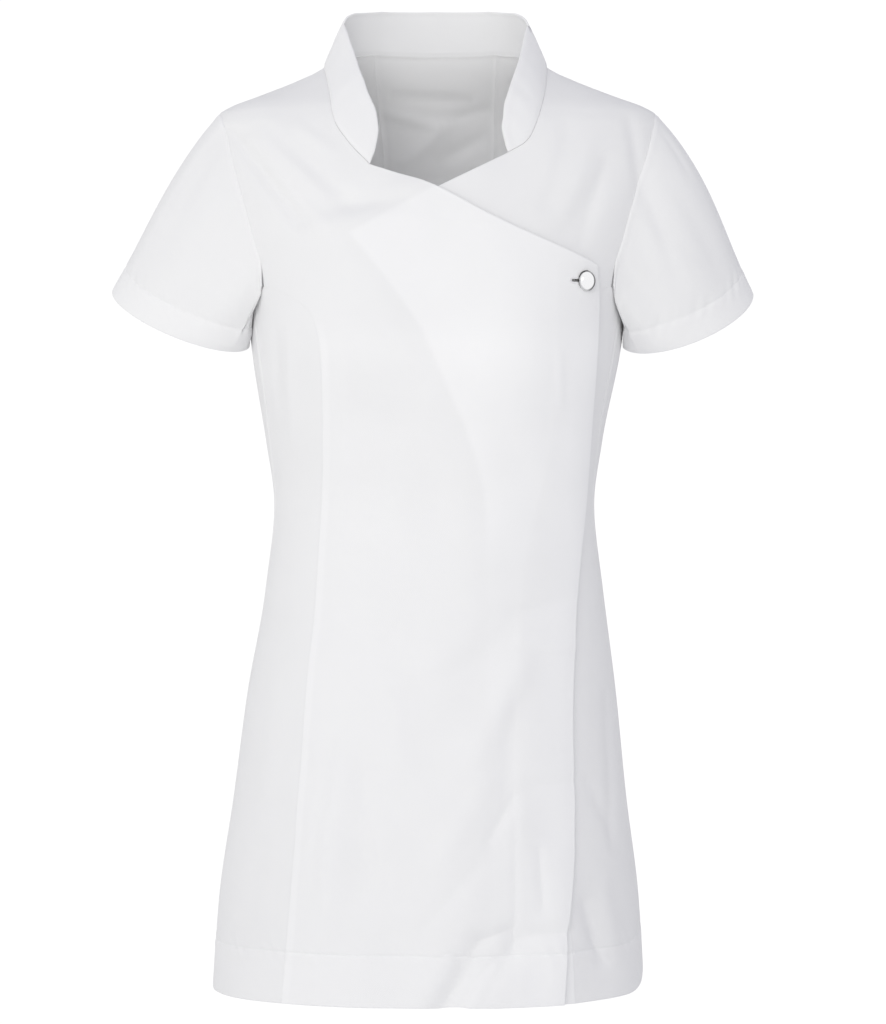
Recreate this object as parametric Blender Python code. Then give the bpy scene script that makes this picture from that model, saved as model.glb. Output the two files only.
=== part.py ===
"""Wrap-front work tunic with a stand collar and short sleeves, worn form, empty inside.

Metres, +Z up, the front faces -Y and the wearer's left is +X.  The origin is on the
wearer's shoulders, MOUNT_HEIGHT above the hem.  Heights below are measured up from the hem.

The body is one surface, a stack of horizontal sections.  Every seam is a curve on that
surface, and every cut piece is a grid stretched between its seams, thickened to a wall.
"""
import math

import bpy
import numpy as np
from mathutils import Matrix, Vector

# ---- driving dimensions -------------------------------------------------------------
MOUNT_HEIGHT = 0.790        # hem up to the wearer's shoulders, where the origin is
CLOTH = 0.0011              # wall of one layer of cloth
COLLAR_CLOTH = 0.0020       # wall of the two-layer collar
SEAM_GAP = 0.0003           # gap between neighbouring pieces
FACING_LIFT = 0.0024        # facing's middle over the underlap's middle
WRAP_LIFT = 0.0042          # wrap's middle over the underlap's middle
BUTTON_AT = (0.1235, 0.6155)        # across from the centre line, height
BUTTON_RADIUS = 0.0090
BUTTON_DOME = 0.0052
BUTTON_EDGE = 0.0012
BUTTON_SHANK_RADIUS = 0.0008
BUTTONHOLE_LENGTH = 0.0190
BUTTONHOLE_WIDTH = 0.0028
BUTTONHOLE_OFFSET = 0.0055          # slit's middle from the button's, away from the edge
SLEEVE_STEP = CLOTH + SEAM_GAP      # the sleeve laps on the armhole by one wall
SLEEVE_CLEAR = 0.0026               # sleeve's middle off the body's middle below the armhole
SLEEVE_SWELL = 0.006                # front and back of the sleeve, at half its length
SLEEVE_TOP_SWELL = {-1: 0.006, 1: 0.009}    # over the shoulder, a third of the way down
HEM_RISE = {-1: 0.0, 1: 0.014}      # the hem sits higher at the wearer's left side

# ---- horizontal sections of the body ------------------------------------------------
SECTION_COLUMNS = ("height", "half_width", "centre_x", "middle_y", "front", "back", "square")
SECTIONS = (
    (0.000, 0.1885, -0.0050, 0.000, 0.1420, 0.1480, 2.05),
    (0.080, 0.1835, -0.0045, 0.000, 0.1400, 0.1450, 2.05),
    (0.170, 0.1715, -0.0035, 0.000, 0.1340, 0.1380, 2.08),
    (0.260, 0.1610, -0.0020, 0.000, 0.1230, 0.1240, 2.10),
    (0.350, 0.1475, 0.0002, 0.000, 0.1090, 0.1060, 2.15),
    (0.425, 0.1402, 0.0002, 0.000, 0.1010, 0.0960, 2.20),
    (0.480, 0.1472, 0.0002, 0.000, 0.1070, 0.0980, 2.25),
    (0.560, 0.1615, 0.0020, 0.000, 0.1190, 0.1040, 2.30),
    (0.604, 0.1665, 0.0030, 0.001, 0.1180, 0.1060, 2.30),
    (0.660, 0.1850, 0.0038, 0.004, 0.1110, 0.1010, 2.30),
    (0.700, 0.1950, 0.0042, 0.007, 0.1010, 0.0930, 2.30),
    (0.737, 0.1990, 0.0043, 0.010, 0.0860, 0.0820, 2.28),
    (0.756, 0.1980, 0.0038, 0.011, 0.0760, 0.0760, 2.24),
    (0.768, 0.1920, 0.0030, 0.012, 0.0680, 0.0720, 2.20),
    (0.774, 0.1825, 0.0026, 0.012, 0.0630, 0.0700, 2.18),
    (0.784, 0.1560, 0.0022, 0.012, 0.0530, 0.0660, 2.15),
    (0.798, 0.1210, 0.0018, 0.012, 0.0370, 0.0600, 2.10),
    (0.810, 0.0975, 0.0014, 0.012, 0.0230, 0.0560, 2.05),
    (0.832, 0.0790, 0.0010, 0.012, 0.0120, 0.0500, 2.00),
)
BUST = dict(across=0.078, height=0.560, wide=0.050, tall=0.070, proud=0.009)

# ---- largest folds: soft ridges (+) and troughs (-) between two points ---------------
# across is measured from the body's centre line, face is +1 in front and -1 behind
FOLD_COLUMNS = ("face", "across_0", "height_0", "across_1", "height_1", "width", "depth")
FOLDS = (
    (1, -0.172, 0.745, -0.115, 0.672, 0.011, -0.0035),
    (1, -0.150, 0.748, -0.095, 0.690, 0.012, 0.0030),
    (1, 0.148, 0.715, 0.112, 0.660, 0.012, -0.0030),
    (1, 0.060, 0.320, -0.002, 0.205, 0.022, -0.0035),
    (1, -0.082, 0.190, -0.098, 0.050, 0.018, 0.0035),
    (1, -0.060, 0.195, -0.060, 0.090, 0.014, -0.0025),
    (1, 0.072, 0.055, 0.005, -0.010, 0.013, -0.0060),
    (1, 0.110, 0.120, 0.118, 0.030, 0.018, 0.0040),
    (1, -0.020, 0.130, -0.030, 0.000, 0.026, -0.0025),
    (-1, 0.090, 0.740, 0.120, 0.640, 0.016, -0.0030),
    (-1, -0.090, 0.735, -0.125, 0.640, 0.015, -0.0035),
    (-1, 0.050, 0.420, 0.060, 0.330, 0.018, -0.0040),
    (-1, -0.055, 0.400, -0.062, 0.300, 0.017, -0.0040),
    (-1, 0.080, 0.160, 0.095, 0.000, 0.024, 0.0045),
    (-1, -0.035, 0.170, -0.045, 0.000, 0.026, -0.0040),
    (-1, -0.115, 0.150, -0.125, 0.010, 0.020, 0.0035),
)

# ---- seams: (distance from the centre line, height), or (angle, height) on the sides --
FRONT_PRINCESS = (
    (0.1245, 0.000), (0.1205, 0.045), (0.1166, 0.105), (0.1128, 0.156), (0.1095, 0.224),
    (0.1062, 0.275), (0.1025, 0.326), (0.0992, 0.377), (0.0962, 0.430), (0.0950, 0.471),
    (0.0957, 0.513), (0.0985, 0.556), (0.1070, 0.586), (0.1235, 0.601),
)
ARMHOLE_FRONT = (
    (0.1495, 0.6130), (0.1545, 0.640), (0.1640, 0.672), (0.1745, 0.706), (0.1835, 0.740),
    (0.1895, 0.764),
)
UNDERARM = (70.0, 0.600)
ARMHOLE_UNDER = ((90.0, 0.598), (108.0, 0.612))
ARMHOLE_BACK = ((118.0, 0.650), (120.0, 0.700), (113.0, 0.745))
SHOULDER_TIP = (88.0, 0.7690)
SIDE_SEAM = ((90.0, 0.0), (90.0, 0.20), (86.0, 0.34), (76.0, 0.44), (68.0, 0.55))
SHOULDER_NECK = (86.0, 0.8095)
SHOULDER_MIDDLE = (87.0, 0.7875)
BACK_PRINCESS = ((0.0720, 0.000), (0.0690, 0.120), (0.0600, 0.250), (0.0500, 0.400))
BACK_PRINCESS_UNDERARM = ((0.0480, 0.565), (0.0480, 0.605))
BACK_PRINCESS_UPPER = ((0.0485, 0.700), (0.0520, 0.780))
BACK_PRINCESS_NECK = (0.0550, 0.8262)
NECK_SIDE = (108.0, 0.8207)
NECK_FRONT = {-1: ((0.0935, 0.7860), (0.0900, 0.7580), (0.0785, 0.7375)),
              1: ((0.0945, 0.7860), (0.0858, 0.7580), (0.0755, 0.7375))}
NECK_END_RIGHT = (0.0590, 0.7160)
NECK_END_LEFT = (0.0592, 0.7270)
# wrap and underlap edges, signed distance from the centre line
WRAP_EDGE = (
    (0.1134, 0.000), (0.1145, 0.055), (0.1215, 0.145), (0.1188, 0.250), (0.1193, 0.320),
    (0.1230, 0.370), (0.1294, 0.440), (0.1345, 0.530), (0.1362, 0.595),
)
WRAP_CORNER = (0.1340, 0.6300)
WRAP_NECKLINE = ((-0.0040, 0.6960), (0.0430, 0.6705), (0.0860, 0.6510), (0.1230, 0.6350))
UNDER_EDGE = (
    (0.0530, 0.000), (0.0520, 0.200), (0.0460, 0.330), (0.0436, 0.400), (0.0415, 0.437),
    (0.0355, 0.462), (0.0255, 0.492), (0.0060, 0.534), (-0.0140, 0.575), (-0.0460, 0.619),
)
UNDER_CORNER = (-0.0750, 0.6550)
UNDER_NECKLINE = ((0.0290, 0.7110), (-0.0040, 0.6950), (-0.0330, 0.6780))
# inner edge of the wrap's facing
FACING_INNER = (
    (0.0755, 0.000), (0.0750, 0.060), (0.0730, 0.200), (0.0716, 0.334), (0.0795, 0.394),
    (0.0915, 0.445), (0.0985, 0.496), (0.1000, 0.552), (0.1000, 0.640),
)

# ---- cuffs: an oval in a tilted plane ------------------------------------------------
CUFF_COLUMNS = ("side", "centre_x", "centre_y", "height", "half_width", "half_depth",
                "drop", "front_drop", "back_drop", "front_turn")
CUFFS = (
    (-1, -0.2225, -0.001, 0.5885, 0.0645, 0.0500, 0.345, 0.46, 0.42, 0.12),
    (1, 0.2225, -0.001, 0.5885, 0.0615, 0.0500, 0.315, 0.56, 0.42, 0.12),
)

# ---- collar: how far its free edge stands above and inside the neck seam --------------
# place runs from 0 at the front end, 3 at the shoulder, 6 at the back seam, to 9 at the middle
COLLAR_COLUMNS = ("place", "rise_right", "inward_right", "rise_left", "inward_left", "back",
                  "swell")
COLLAR = (
    (0.0, 0.0103, 0.0038, 0.0053, 0.0021, 0.0020, 0.0000),
    (0.5, 0.0201, 0.0192, 0.0175, 0.0187, 0.0040, 0.0005),
    (1.0, 0.0264, 0.0262, 0.0248, 0.0247, 0.0065, 0.0010),
    (1.5, 0.0290, 0.0275, 0.0272, 0.0244, 0.0080, 0.0020),
    (2.0, 0.0308, 0.0242, 0.0288, 0.0228, 0.0085, 0.0025),
    (2.5, 0.0345, 0.0207, 0.0325, 0.0207, 0.0070, 0.0020),
    (3.0, 0.0395, 0.0173, 0.0380, 0.0176, 0.0045, 0.0010),
    (3.5, 0.0415, 0.0153, 0.0411, 0.0152, 0.0030, 0.0010),
    (4.0, 0.0407, 0.0141, 0.0406, 0.0141, 0.0020, 0.0010),
    (5.0, 0.0390, 0.0113, 0.0389, 0.0117, 0.0000, 0.0010),
    (6.0, 0.0388, 0.0077, 0.0388, 0.0074, -0.0010, 0.0010),
    (7.5, 0.0395, 0.0036, 0.0395, 0.0040, -0.0010, 0.0010),
    (9.0, 0.0402, 0.0000, 0.0402, 0.0000, -0.0010, 0.0010),
)

# ---- how finely the grids are cut ----------------------------------------------------
ROWS_SIDE = 22              # hem up to the underarm
ROWS_NECKLINE = 6           # along a slanting neckline
ROWS_NECK_FRONT = 3         # along the neck seam in front
ROWS_ARMHOLE_FRONT = ROWS_NECKLINE + ROWS_NECK_FRONT
ROWS_ARMHOLE_UNDER = 3
ROWS_BACK_UPPER = 6
ROWS_NECK_SIDE = 3
ROWS_ARMHOLE_BACK = ROWS_BACK_UPPER + ROWS_NECK_SIDE
COLUMNS_WRAP = 24
COLUMNS_UNDER = 10
COLUMNS_SIDE_FRONT = 5
COLUMNS_SIDE_BACK = 7
COLUMNS_BACK_CENTRE = 6
ROWS_SLEEVE = 7
ROWS_COLLAR = 3
FACING_COLUMNS = 4
BUTTON_SIDES = 20
BUTTON_RINGS = 5

WHITE_CLOTH = (0.90, 0.90, 0.915)
STEEL = (0.62, 0.61, 0.60)


def column(table, names, name):
    """One named column of a table as an array."""
    return np.array([row[names.index(name)] for row in table])


def smooth_through(xs, ys, x):
    """Cubic through rising xs whose slopes never overshoot (harmonic mean of neighbours)."""
    xs, ys = np.asarray(xs, float), np.asarray(ys, float)
    steps = np.diff(xs)
    rises = np.diff(ys) / steps
    slopes = np.empty(len(xs))
    slopes[0], slopes[-1] = rises[0], rises[-1]
    before, after = rises[:-1], rises[1:]
    same_way = before * after > 0
    total = np.where(same_way, before + after, 1.0)
    slopes[1:-1] = np.where(same_way, 2 * before * after / total, 0.0)
    x = np.clip(x, xs[0], xs[-1])
    i = np.clip(np.searchsorted(xs, x) - 1, 0, len(xs) - 2)
    h = steps[i]
    t = (x - xs[i]) / h
    return ((2 * t**3 - 3 * t**2 + 1) * ys[i] + (t**3 - 2 * t**2 + t) * h * slopes[i]
            + (3 * t**2 - 2 * t**3) * ys[i + 1] + (t**3 - t**2) * h * slopes[i + 1])


def section(name, height):
    """A size of the body's section at a height."""
    heights = column(SECTIONS, SECTION_COLUMNS, "height")
    return smooth_through(heights, column(SECTIONS, SECTION_COLUMNS, name), height)


def ease(low, high, value):
    """0 below low, 1 above high, a smooth S between."""
    t = np.clip((value - low) / (high - low), 0.0, 1.0)
    return t * t * (3 - 2 * t)


def unit_section(angle, square):
    """Unit superellipse at an angle from the front: its share across and forward."""
    sine, cosine = np.sin(angle), np.cos(angle)
    reach = (np.abs(sine) ** square + np.abs(cosine) ** square) ** (-1.0 / square)
    return reach * sine, reach * cosine


def bare_body(angle, height):
    """The body without folds.  angle is 0 in front, +90 degrees at +X, 180 behind."""
    across, forward = unit_section(angle, section("square", height))
    depth = np.where(forward > 0, section("front", height), section("back", height))
    x = section("half_width", height) * across
    y = section("middle_y", height) - depth * forward
    lobes = (np.exp(-((x - BUST["across"]) / BUST["wide"]) ** 2)
             + np.exp(-((x + BUST["across"]) / BUST["wide"]) ** 2))
    lobes = lobes * np.exp(-((height - BUST["height"]) / BUST["tall"]) ** 2)
    y = y - BUST["proud"] * lobes * ease(0.0, 0.5, forward)
    return np.stack([x + section("centre_x", height), y, height + 0 * x], axis=-1)


def normal_of(surface, angle, height):
    """Outward unit normal of a surface(angle, height), from its two tangents."""
    turn, rise = 0.004, 0.0008
    around = surface(angle + turn, height) - surface(angle - turn, height)
    up = surface(angle, height + rise) - surface(angle, height - rise)
    out = np.cross(around, up)
    return out / np.linalg.norm(out, axis=-1, keepdims=True)


def fold_relief(angle, height):
    """Sum of the fold rows: a bell across each line between its two ends."""
    across, forward = unit_section(angle, section("square", height))
    x = section("half_width", height) * across
    total = np.zeros_like(x)
    for row in FOLDS:
        face, x0, z0, x1, z1, width, depth = (row[FOLD_COLUMNS.index(name)] for name in FOLD_COLUMNS)
        length = math.hypot(x1 - x0, z1 - z0)
        along = ((x - x0) * (x1 - x0) + (height - z0) * (z1 - z0)) / length**2
        along = np.clip(along, 0.0, 1.0)
        away = np.hypot(x - x0 - along * (x1 - x0), height - z0 - along * (z1 - z0))
        bell = np.exp(-(away / width) ** 2) * (0.35 + 0.65 * np.sin(math.pi * (0.15 + 0.7 * along)))
        total += depth * bell * ease(0.05, 0.35, face * forward)
    return total


def cloth(angle, height):
    """The body with its folds."""
    relief = fold_relief(angle, height)[..., None]
    return bare_body(angle, height) + normal_of(bare_body, angle, height) * relief


def angle_at(across, height, face=1):
    """Angle of the point at a signed distance from the centre line, in front or behind."""
    square = section("square", height)
    share = np.clip(across / section("half_width", height), -1, 1)
    forward = (1 - np.abs(share) ** square) ** (1 / square)
    return np.arctan2(share, face * forward)


def side_length(height):
    """Length of the body's side profile up to a height, which spreads rows evenly."""
    heights = np.linspace(0.0, SECTIONS[-1][0], 400)
    steps = np.hypot(np.diff(heights), np.diff(section("half_width", heights)))
    lengths = np.concatenate([[0.0], np.cumsum(steps)])
    return np.interp(height, heights, lengths), heights, lengths


def to_flat(points):
    """(angle, height) to (angle, side length)."""
    points = np.array(points, float)
    points[:, 1] = side_length(points[:, 1])[0]
    return points


def from_flat(points):
    """(angle, side length) back to (angle, height)."""
    _, heights, lengths = side_length(0.0)
    points = np.array(points, float)
    points[..., 1] = np.interp(points[..., 1], lengths, heights)
    return points


def curve(points, count):
    """count + 1 evenly spaced points on a smooth curve through (angle, height) points."""
    flat = to_flat(points)
    steps = np.hypot(0.15 * np.diff(flat[:, 0]), np.diff(flat[:, 1]))
    along = np.concatenate([[0.0], np.cumsum(steps)])
    fine = np.linspace(0.0, along[-1], 40 * len(flat))
    path = np.stack([smooth_through(along, flat[:, k], fine) for k in (0, 1)], axis=-1)
    steps = np.hypot(0.15 * np.diff(path[:, 0]), np.diff(path[:, 1]))
    travelled = np.concatenate([[0.0], np.cumsum(steps)])
    at = np.linspace(0.0, travelled[-1], count + 1)
    flat = np.stack([np.interp(at, travelled, path[:, k]) for k in (0, 1)], axis=-1)
    return from_flat(flat)


def curve_in_view(points, count, face=1):
    """As curve, but smooth and even as seen from the front or behind."""
    points = np.array(points, float)
    across, _ = unit_section(points[:, 0], section("square", points[:, 1]))
    seen = np.stack([section("half_width", points[:, 1]) * across, points[:, 1]], axis=-1)
    along = np.concatenate([[0.0], np.cumsum(np.hypot(*np.diff(seen, axis=0).T))])
    fine = np.linspace(0.0, along[-1], 40 * len(seen))
    path = np.stack([smooth_through(along, seen[:, k], fine) for k in (0, 1)], axis=-1)
    travelled = np.concatenate([[0.0], np.cumsum(np.hypot(*np.diff(path, axis=0).T))])
    at = np.linspace(0.0, travelled[-1], count + 1)
    x, height = (np.interp(at, travelled, path[:, k]) for k in (0, 1))
    placed = np.stack([angle_at(x, height, face), height], axis=-1)
    placed[[0, -1]] = points[[0, -1]]
    return placed


def join(*pieces):
    """Curves end to end, without the doubled corner points."""
    return np.concatenate([pieces[0]] + [piece[1:] for piece in pieces[1:]])


def front_points(rows, side=1):
    """Table rows on the front, mirrored to the side wanted, as (angle, height)."""
    return [(float(angle_at(side * x, z)), z) for x, z in rows]


def side_points(rows, side):
    """Rows of (degrees, height) on one side."""
    return [(side * math.radians(degrees), z) for degrees, z in rows]


def back_points(rows, side):
    """Rows on the back; angles are counted round the wearer's own side."""
    return [(float(angle_at(side * x, z, -1)), z) for x, z in rows]


def seams(side):
    """All seams of one side of the body, +1 for +X, sampled once for both neighbours."""
    neck_end = NECK_END_LEFT if side > 0 else NECK_END_RIGHT
    armhole_start = front_points(ARMHOLE_FRONT[:1], side)
    hem = [(side * math.radians(SIDE_SEAM[0][0]), HEM_RISE[side])]
    underarm = side_points((UNDERARM,), side)
    under = side_points(ARMHOLE_UNDER, side)
    tip = side_points((SHOULDER_TIP,), side)
    neck_point = side_points((SHOULDER_NECK,), side)
    princess_underarm = back_points(BACK_PRINCESS_UNDERARM, side)
    princess_neck = back_points((BACK_PRINCESS_NECK,), side)
    return {
        "princess": curve_in_view(front_points(FRONT_PRINCESS, side) + armhole_start, ROWS_SIDE),
        "side": curve(hem + side_points(SIDE_SEAM[1:], side) + underarm, ROWS_SIDE),
        "armhole_front": curve(front_points(ARMHOLE_FRONT, side) + tip, ROWS_ARMHOLE_FRONT),
        "armhole_low": curve(underarm + armhole_start, COLUMNS_SIDE_FRONT),
        "armhole_back": join(curve(underarm + under, ROWS_ARMHOLE_UNDER),
                             curve(under[-1:] + side_points(ARMHOLE_BACK, side) + tip,
                                   ROWS_ARMHOLE_BACK)),
        "neck_front": curve_in_view(neck_point + front_points(NECK_FRONT[side] + (neck_end,), side),
                                    ROWS_NECK_FRONT),
        "neck_side": curve(neck_point + side_points((NECK_SIDE,), side) + princess_neck,
                           ROWS_NECK_SIDE),
        "back_princess": join(curve_in_view(back_points(BACK_PRINCESS, side)
                                            + princess_underarm[:1], ROWS_SIDE, -1),
                              curve_in_view(princess_underarm, ROWS_ARMHOLE_UNDER, -1),
                              curve_in_view(princess_underarm[1:]
                                            + back_points(BACK_PRINCESS_UPPER, side)
                                            + princess_neck, ROWS_BACK_UPPER, -1)),
    }


def shoulder(side, count):
    """Shoulder seam, from the shoulder tip to the neck."""
    return curve(side_points((SHOULDER_TIP, SHOULDER_MIDDLE, SHOULDER_NECK), side), count)


def straight(start, end, count):
    """Straight run between two (angle, height) points."""
    return curve([tuple(start), tuple(end)], count)


def hem_edge(side, inner, count):
    """Hem from the side seam, easing down from any rise there."""
    halfway = ((side[0] + inner[0]) / 2, side[1] * 0.12)
    return curve([tuple(side), halfway, tuple(inner)], count)


def spread(points, middle):
    """(angle, height) to a front view unrolled sideways from a middle angle."""
    angle, height = np.asarray(points)[..., 0], np.asarray(points)[..., 1]
    return np.stack([(angle - middle) * section("half_width", height), height], axis=-1)


def gather(points, middle):
    """The unrolled view back to (angle, height)."""
    height = points[..., 1]
    return np.stack([middle + points[..., 0] / section("half_width", height), height], axis=-1)


def grid_between(left, right, bottom, top, middle=0.0):
    """Coons patch: blends four edge curves into a grid of (angle, height), rows upward."""
    left, right, bottom, top = (spread(edge, middle) for edge in (left, right, bottom, top))
    s = np.linspace(0, 1, len(bottom))[None, :, None]
    t = np.linspace(0, 1, len(left))[:, None, None]
    ruled = (1 - t) * bottom[None] + t * top[None] + (1 - s) * left[:, None] + s * right[:, None]
    corners = ((1 - t) * ((1 - s) * bottom[0] + s * bottom[-1])
               + t * ((1 - s) * top[0] + s * top[-1]))
    return gather(ruled - corners, middle)


def wrap_lift(angle, height):
    """How far the wrap stands off the body: none at its seams, full over the underlap."""
    across, _ = unit_section(angle, section("square", height))
    x = section("half_width", height) * across
    edge = sorted(((z, x_) for x_, z in UNDER_EDGE + (UNDER_CORNER,)))
    edge_x = np.interp(height, [z for z, _ in edge], [x_ for _, x_ in edge])
    line = sorted(UNDER_NECKLINE + (UNDER_CORNER,))
    line_z = np.interp(x, [x_ for x_, _ in line], [z for _, z in line])
    return WRAP_LIFT * ease(-0.070, -0.006, x - edge_x) * ease(-0.034, -0.006, line_z - height)


def wall(name, points, normals, thickness, colour, closed=False):
    """Closed solid from a grid of points: two skins along the normals, and rims."""
    rows, columns = points.shape[:2]
    outer = (points + normals * thickness / 2).reshape(-1, 3)
    inner = (points - normals * thickness / 2).reshape(-1, 3)
    count = rows * columns
    vertices = np.concatenate([outer, inner]) - [0, 0, MOUNT_HEIGHT]
    spans = columns if closed else columns - 1
    r, c = np.meshgrid(np.arange(rows - 1), np.arange(spans), indexing="ij")
    r, c = r.ravel(), c.ravel()
    n = (c + 1) % columns
    a, b = r * columns + c, r * columns + n
    d, e = (r + 1) * columns + c, (r + 1) * columns + n
    skin = np.concatenate([np.stack([a, b, e], 1), np.stack([a, e, d], 1)])
    faces = [skin, skin[:, ::-1] + count]
    edges = [np.stack([c, n], 1)[: spans]]
    edges.append(edges[0][:, ::-1] + (rows - 1) * columns)
    if not closed:
        k = np.arange(rows - 1)
        edges.append(np.stack([(k + 1) * columns, k * columns], 1))
        edges.append(np.stack([k * columns, (k + 1) * columns], 1) + columns - 1)
    for edge in edges:
        p, q = edge[:, 0], edge[:, 1]
        faces.append(np.stack([q, p, p + count], 1))
        faces.append(np.stack([q, p + count, q + count], 1))
    mesh = bpy.data.meshes.new(name)
    mesh.from_pydata(vertices.tolist(), [], np.concatenate(faces).tolist())
    mesh.shade_smooth()
    mesh.set_sharp_from_angle(angle=math.radians(50))
    return add_object(name, mesh, colour)


def add_object(name, mesh, colour, metallic=0.0, roughness=0.85):
    """Object with its own plain material."""
    material = bpy.data.materials.new(name)
    material.use_nodes = True
    shader = material.node_tree.nodes["Principled BSDF"]
    shader.inputs["Base Color"].default_value = (*colour, 1.0)
    shader.inputs["Metallic"].default_value = metallic
    shader.inputs["Roughness"].default_value = roughness
    mesh.materials.append(material)
    piece = bpy.data.objects.new(name, mesh)
    bpy.context.scene.collection.objects.link(piece)
    return piece


def draw_in(points, closed=False):
    """Moves the grid's edge points in by half a seam gap, towards their neighbours."""
    moved = points.copy()

    def step(edge, beside):
        """Half the gap, square to the edge."""
        run = np.gradient(edge, axis=0)
        run /= np.linalg.norm(run, axis=-1, keepdims=True)
        way = beside - edge
        way = way - run * np.sum(way * run, axis=-1, keepdims=True)
        return way / np.linalg.norm(way, axis=-1, keepdims=True) * SEAM_GAP / 2

    moved[0] += step(points[0], points[1])
    moved[-1] += step(points[-1], points[-2])
    if not closed:
        moved[:, 0] += step(points[:, 0], points[:, 1])
        moved[:, -1] += step(points[:, -1], points[:, -2])
    return moved


def panel(name, grid, lift=None):
    """One cut piece on the body: its grid on the cloth, lifted and thickened."""
    angle, height = grid[..., 0], grid[..., 1]
    normals = normal_of(cloth, angle, height)
    points = cloth(angle, height)
    if lift is not None:
        points = points + normals * lift[..., None]
    return wall(name, draw_in(points), normals, CLOTH, WHITE_CLOTH)


def beside_edge(grid):
    """The grid's rows from the facing's inner edge on, spaced evenly again."""
    count = np.arange(grid.shape[1])
    rows = []
    for angle, height in zip(grid[..., 0], grid[..., 1]):
        across, _ = unit_section(angle, section("square", height))
        across = across * section("half_width", height)
        inner = smooth_through([z for _, z in FACING_INNER], [x for x, _ in FACING_INNER], height)
        at = np.linspace(np.interp(0.0, across - inner, count), count[-1], FACING_COLUMNS + 1)
        rows.append([np.interp(at, count, angle), np.interp(at, count, height)])
    return np.moveaxis(np.array(rows), 1, 2)


def build_fronts(right, left):
    """Wrap, its facing, the underlap and the two side fronts."""
    corner = front_points((WRAP_CORNER,))
    neck_end = front_points((NECK_END_RIGHT,), -1)
    princess = join(right["princess"], right["armhole_front"])
    edge = join(curve_in_view(front_points(WRAP_EDGE) + corner, ROWS_SIDE),
                curve_in_view(corner + front_points(WRAP_NECKLINE[::-1]) + neck_end,
                              ROWS_NECKLINE),
                right["neck_front"][::-1])
    hem = straight(princess[0], edge[0], COLUMNS_WRAP)
    wrap_grid = grid_between(princess, edge, hem, shoulder(-1, COLUMNS_WRAP))
    lift = wrap_lift(wrap_grid[..., 0], wrap_grid[..., 1])
    wrap = panel("front_right_wrap", wrap_grid, lift)
    facing_grid = beside_edge(wrap_grid[:ROWS_SIDE + 1])
    facing = panel("wrap_facing", facing_grid, np.full(facing_grid.shape[:2], FACING_LIFT))

    corner = front_points((UNDER_CORNER,))
    neck_end = front_points((NECK_END_LEFT,))
    princess = join(left["princess"], left["armhole_front"])
    edge = join(curve_in_view(front_points(UNDER_EDGE) + corner, ROWS_SIDE + 2),
                curve_in_view(corner + front_points(UNDER_NECKLINE[::-1]) + neck_end,
                              ROWS_NECKLINE - 2),
                left["neck_front"][::-1])
    hem = straight(edge[0], princess[0], COLUMNS_UNDER)
    top = shoulder(1, COLUMNS_UNDER)[::-1]
    panel("front_left_under", grid_between(edge, princess, hem, top))

    for name, seam, flip in (("front_right_side", right, False), ("front_left_side", left, True)):
        hem = hem_edge(seam["side"][0], seam["princess"][0], COLUMNS_SIDE_FRONT)
        grid = grid_between(seam["side"], seam["princess"], hem, seam["armhole_low"])
        panel(name, grid[:, ::-1] if flip else grid)
    return wrap, facing


def unwrapped(edge, side):
    """Angles past 180 degrees instead of a jump, for pieces on the back."""
    edge = np.array(edge)
    edge[:, 0] = np.where(side * edge[:, 0] < 0, edge[:, 0] + side * 2 * math.pi, edge[:, 0])
    return edge


def build_back(right, left):
    """Centre back and the two side backs."""
    for name, seam, side in (("back_right_side", right, -1), ("back_left_side", left, 1)):
        outer = join(seam["side"], seam["armhole_back"])
        inner = join(seam["back_princess"], seam["neck_side"][::-1])
        hem = hem_edge(outer[0], inner[0], COLUMNS_SIDE_BACK)
        top = shoulder(side, COLUMNS_SIDE_BACK)
        grid = grid_between(outer, inner, hem, top, side * math.pi)
        panel(name, grid[:, ::-1] if side < 0 else grid)
    start = left["back_princess"]
    end = unwrapped(right["back_princess"], 1)
    top = straight(start[-1], end[-1], COLUMNS_BACK_CENTRE)
    hem = straight(start[0], end[0], COLUMNS_BACK_CENTRE)
    panel("back_centre", grid_between(start, end, hem, top, math.pi))


def clear_of_body(points):
    """Sleeve points under the armhole, pushed out sideways until they clear the body."""
    x, y, z = points[..., 0], points[..., 1], points[..., 2]
    dx = x - section("centre_x", z)
    dy = section("middle_y", z) - y
    across = dx / section("half_width", z)
    forward = dy / np.where(dy > 0, section("front", z), section("back", z))
    angle = np.arctan2(across, forward)
    body = cloth(angle, z)
    reach = np.hypot(body[..., 0] - section("centre_x", z), body[..., 1] - section("middle_y", z))
    own = np.hypot(dx, dy)
    wanted = (reach + SLEEVE_CLEAR) / own
    push = 1 + np.maximum(wanted - 1, 0) * ease(-0.635, -0.612, -z)
    moved = points.copy()
    moved[..., 0] = section("centre_x", z) + dx * push
    moved[..., 1] = section("middle_y", z) - dy * push
    return moved


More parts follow.
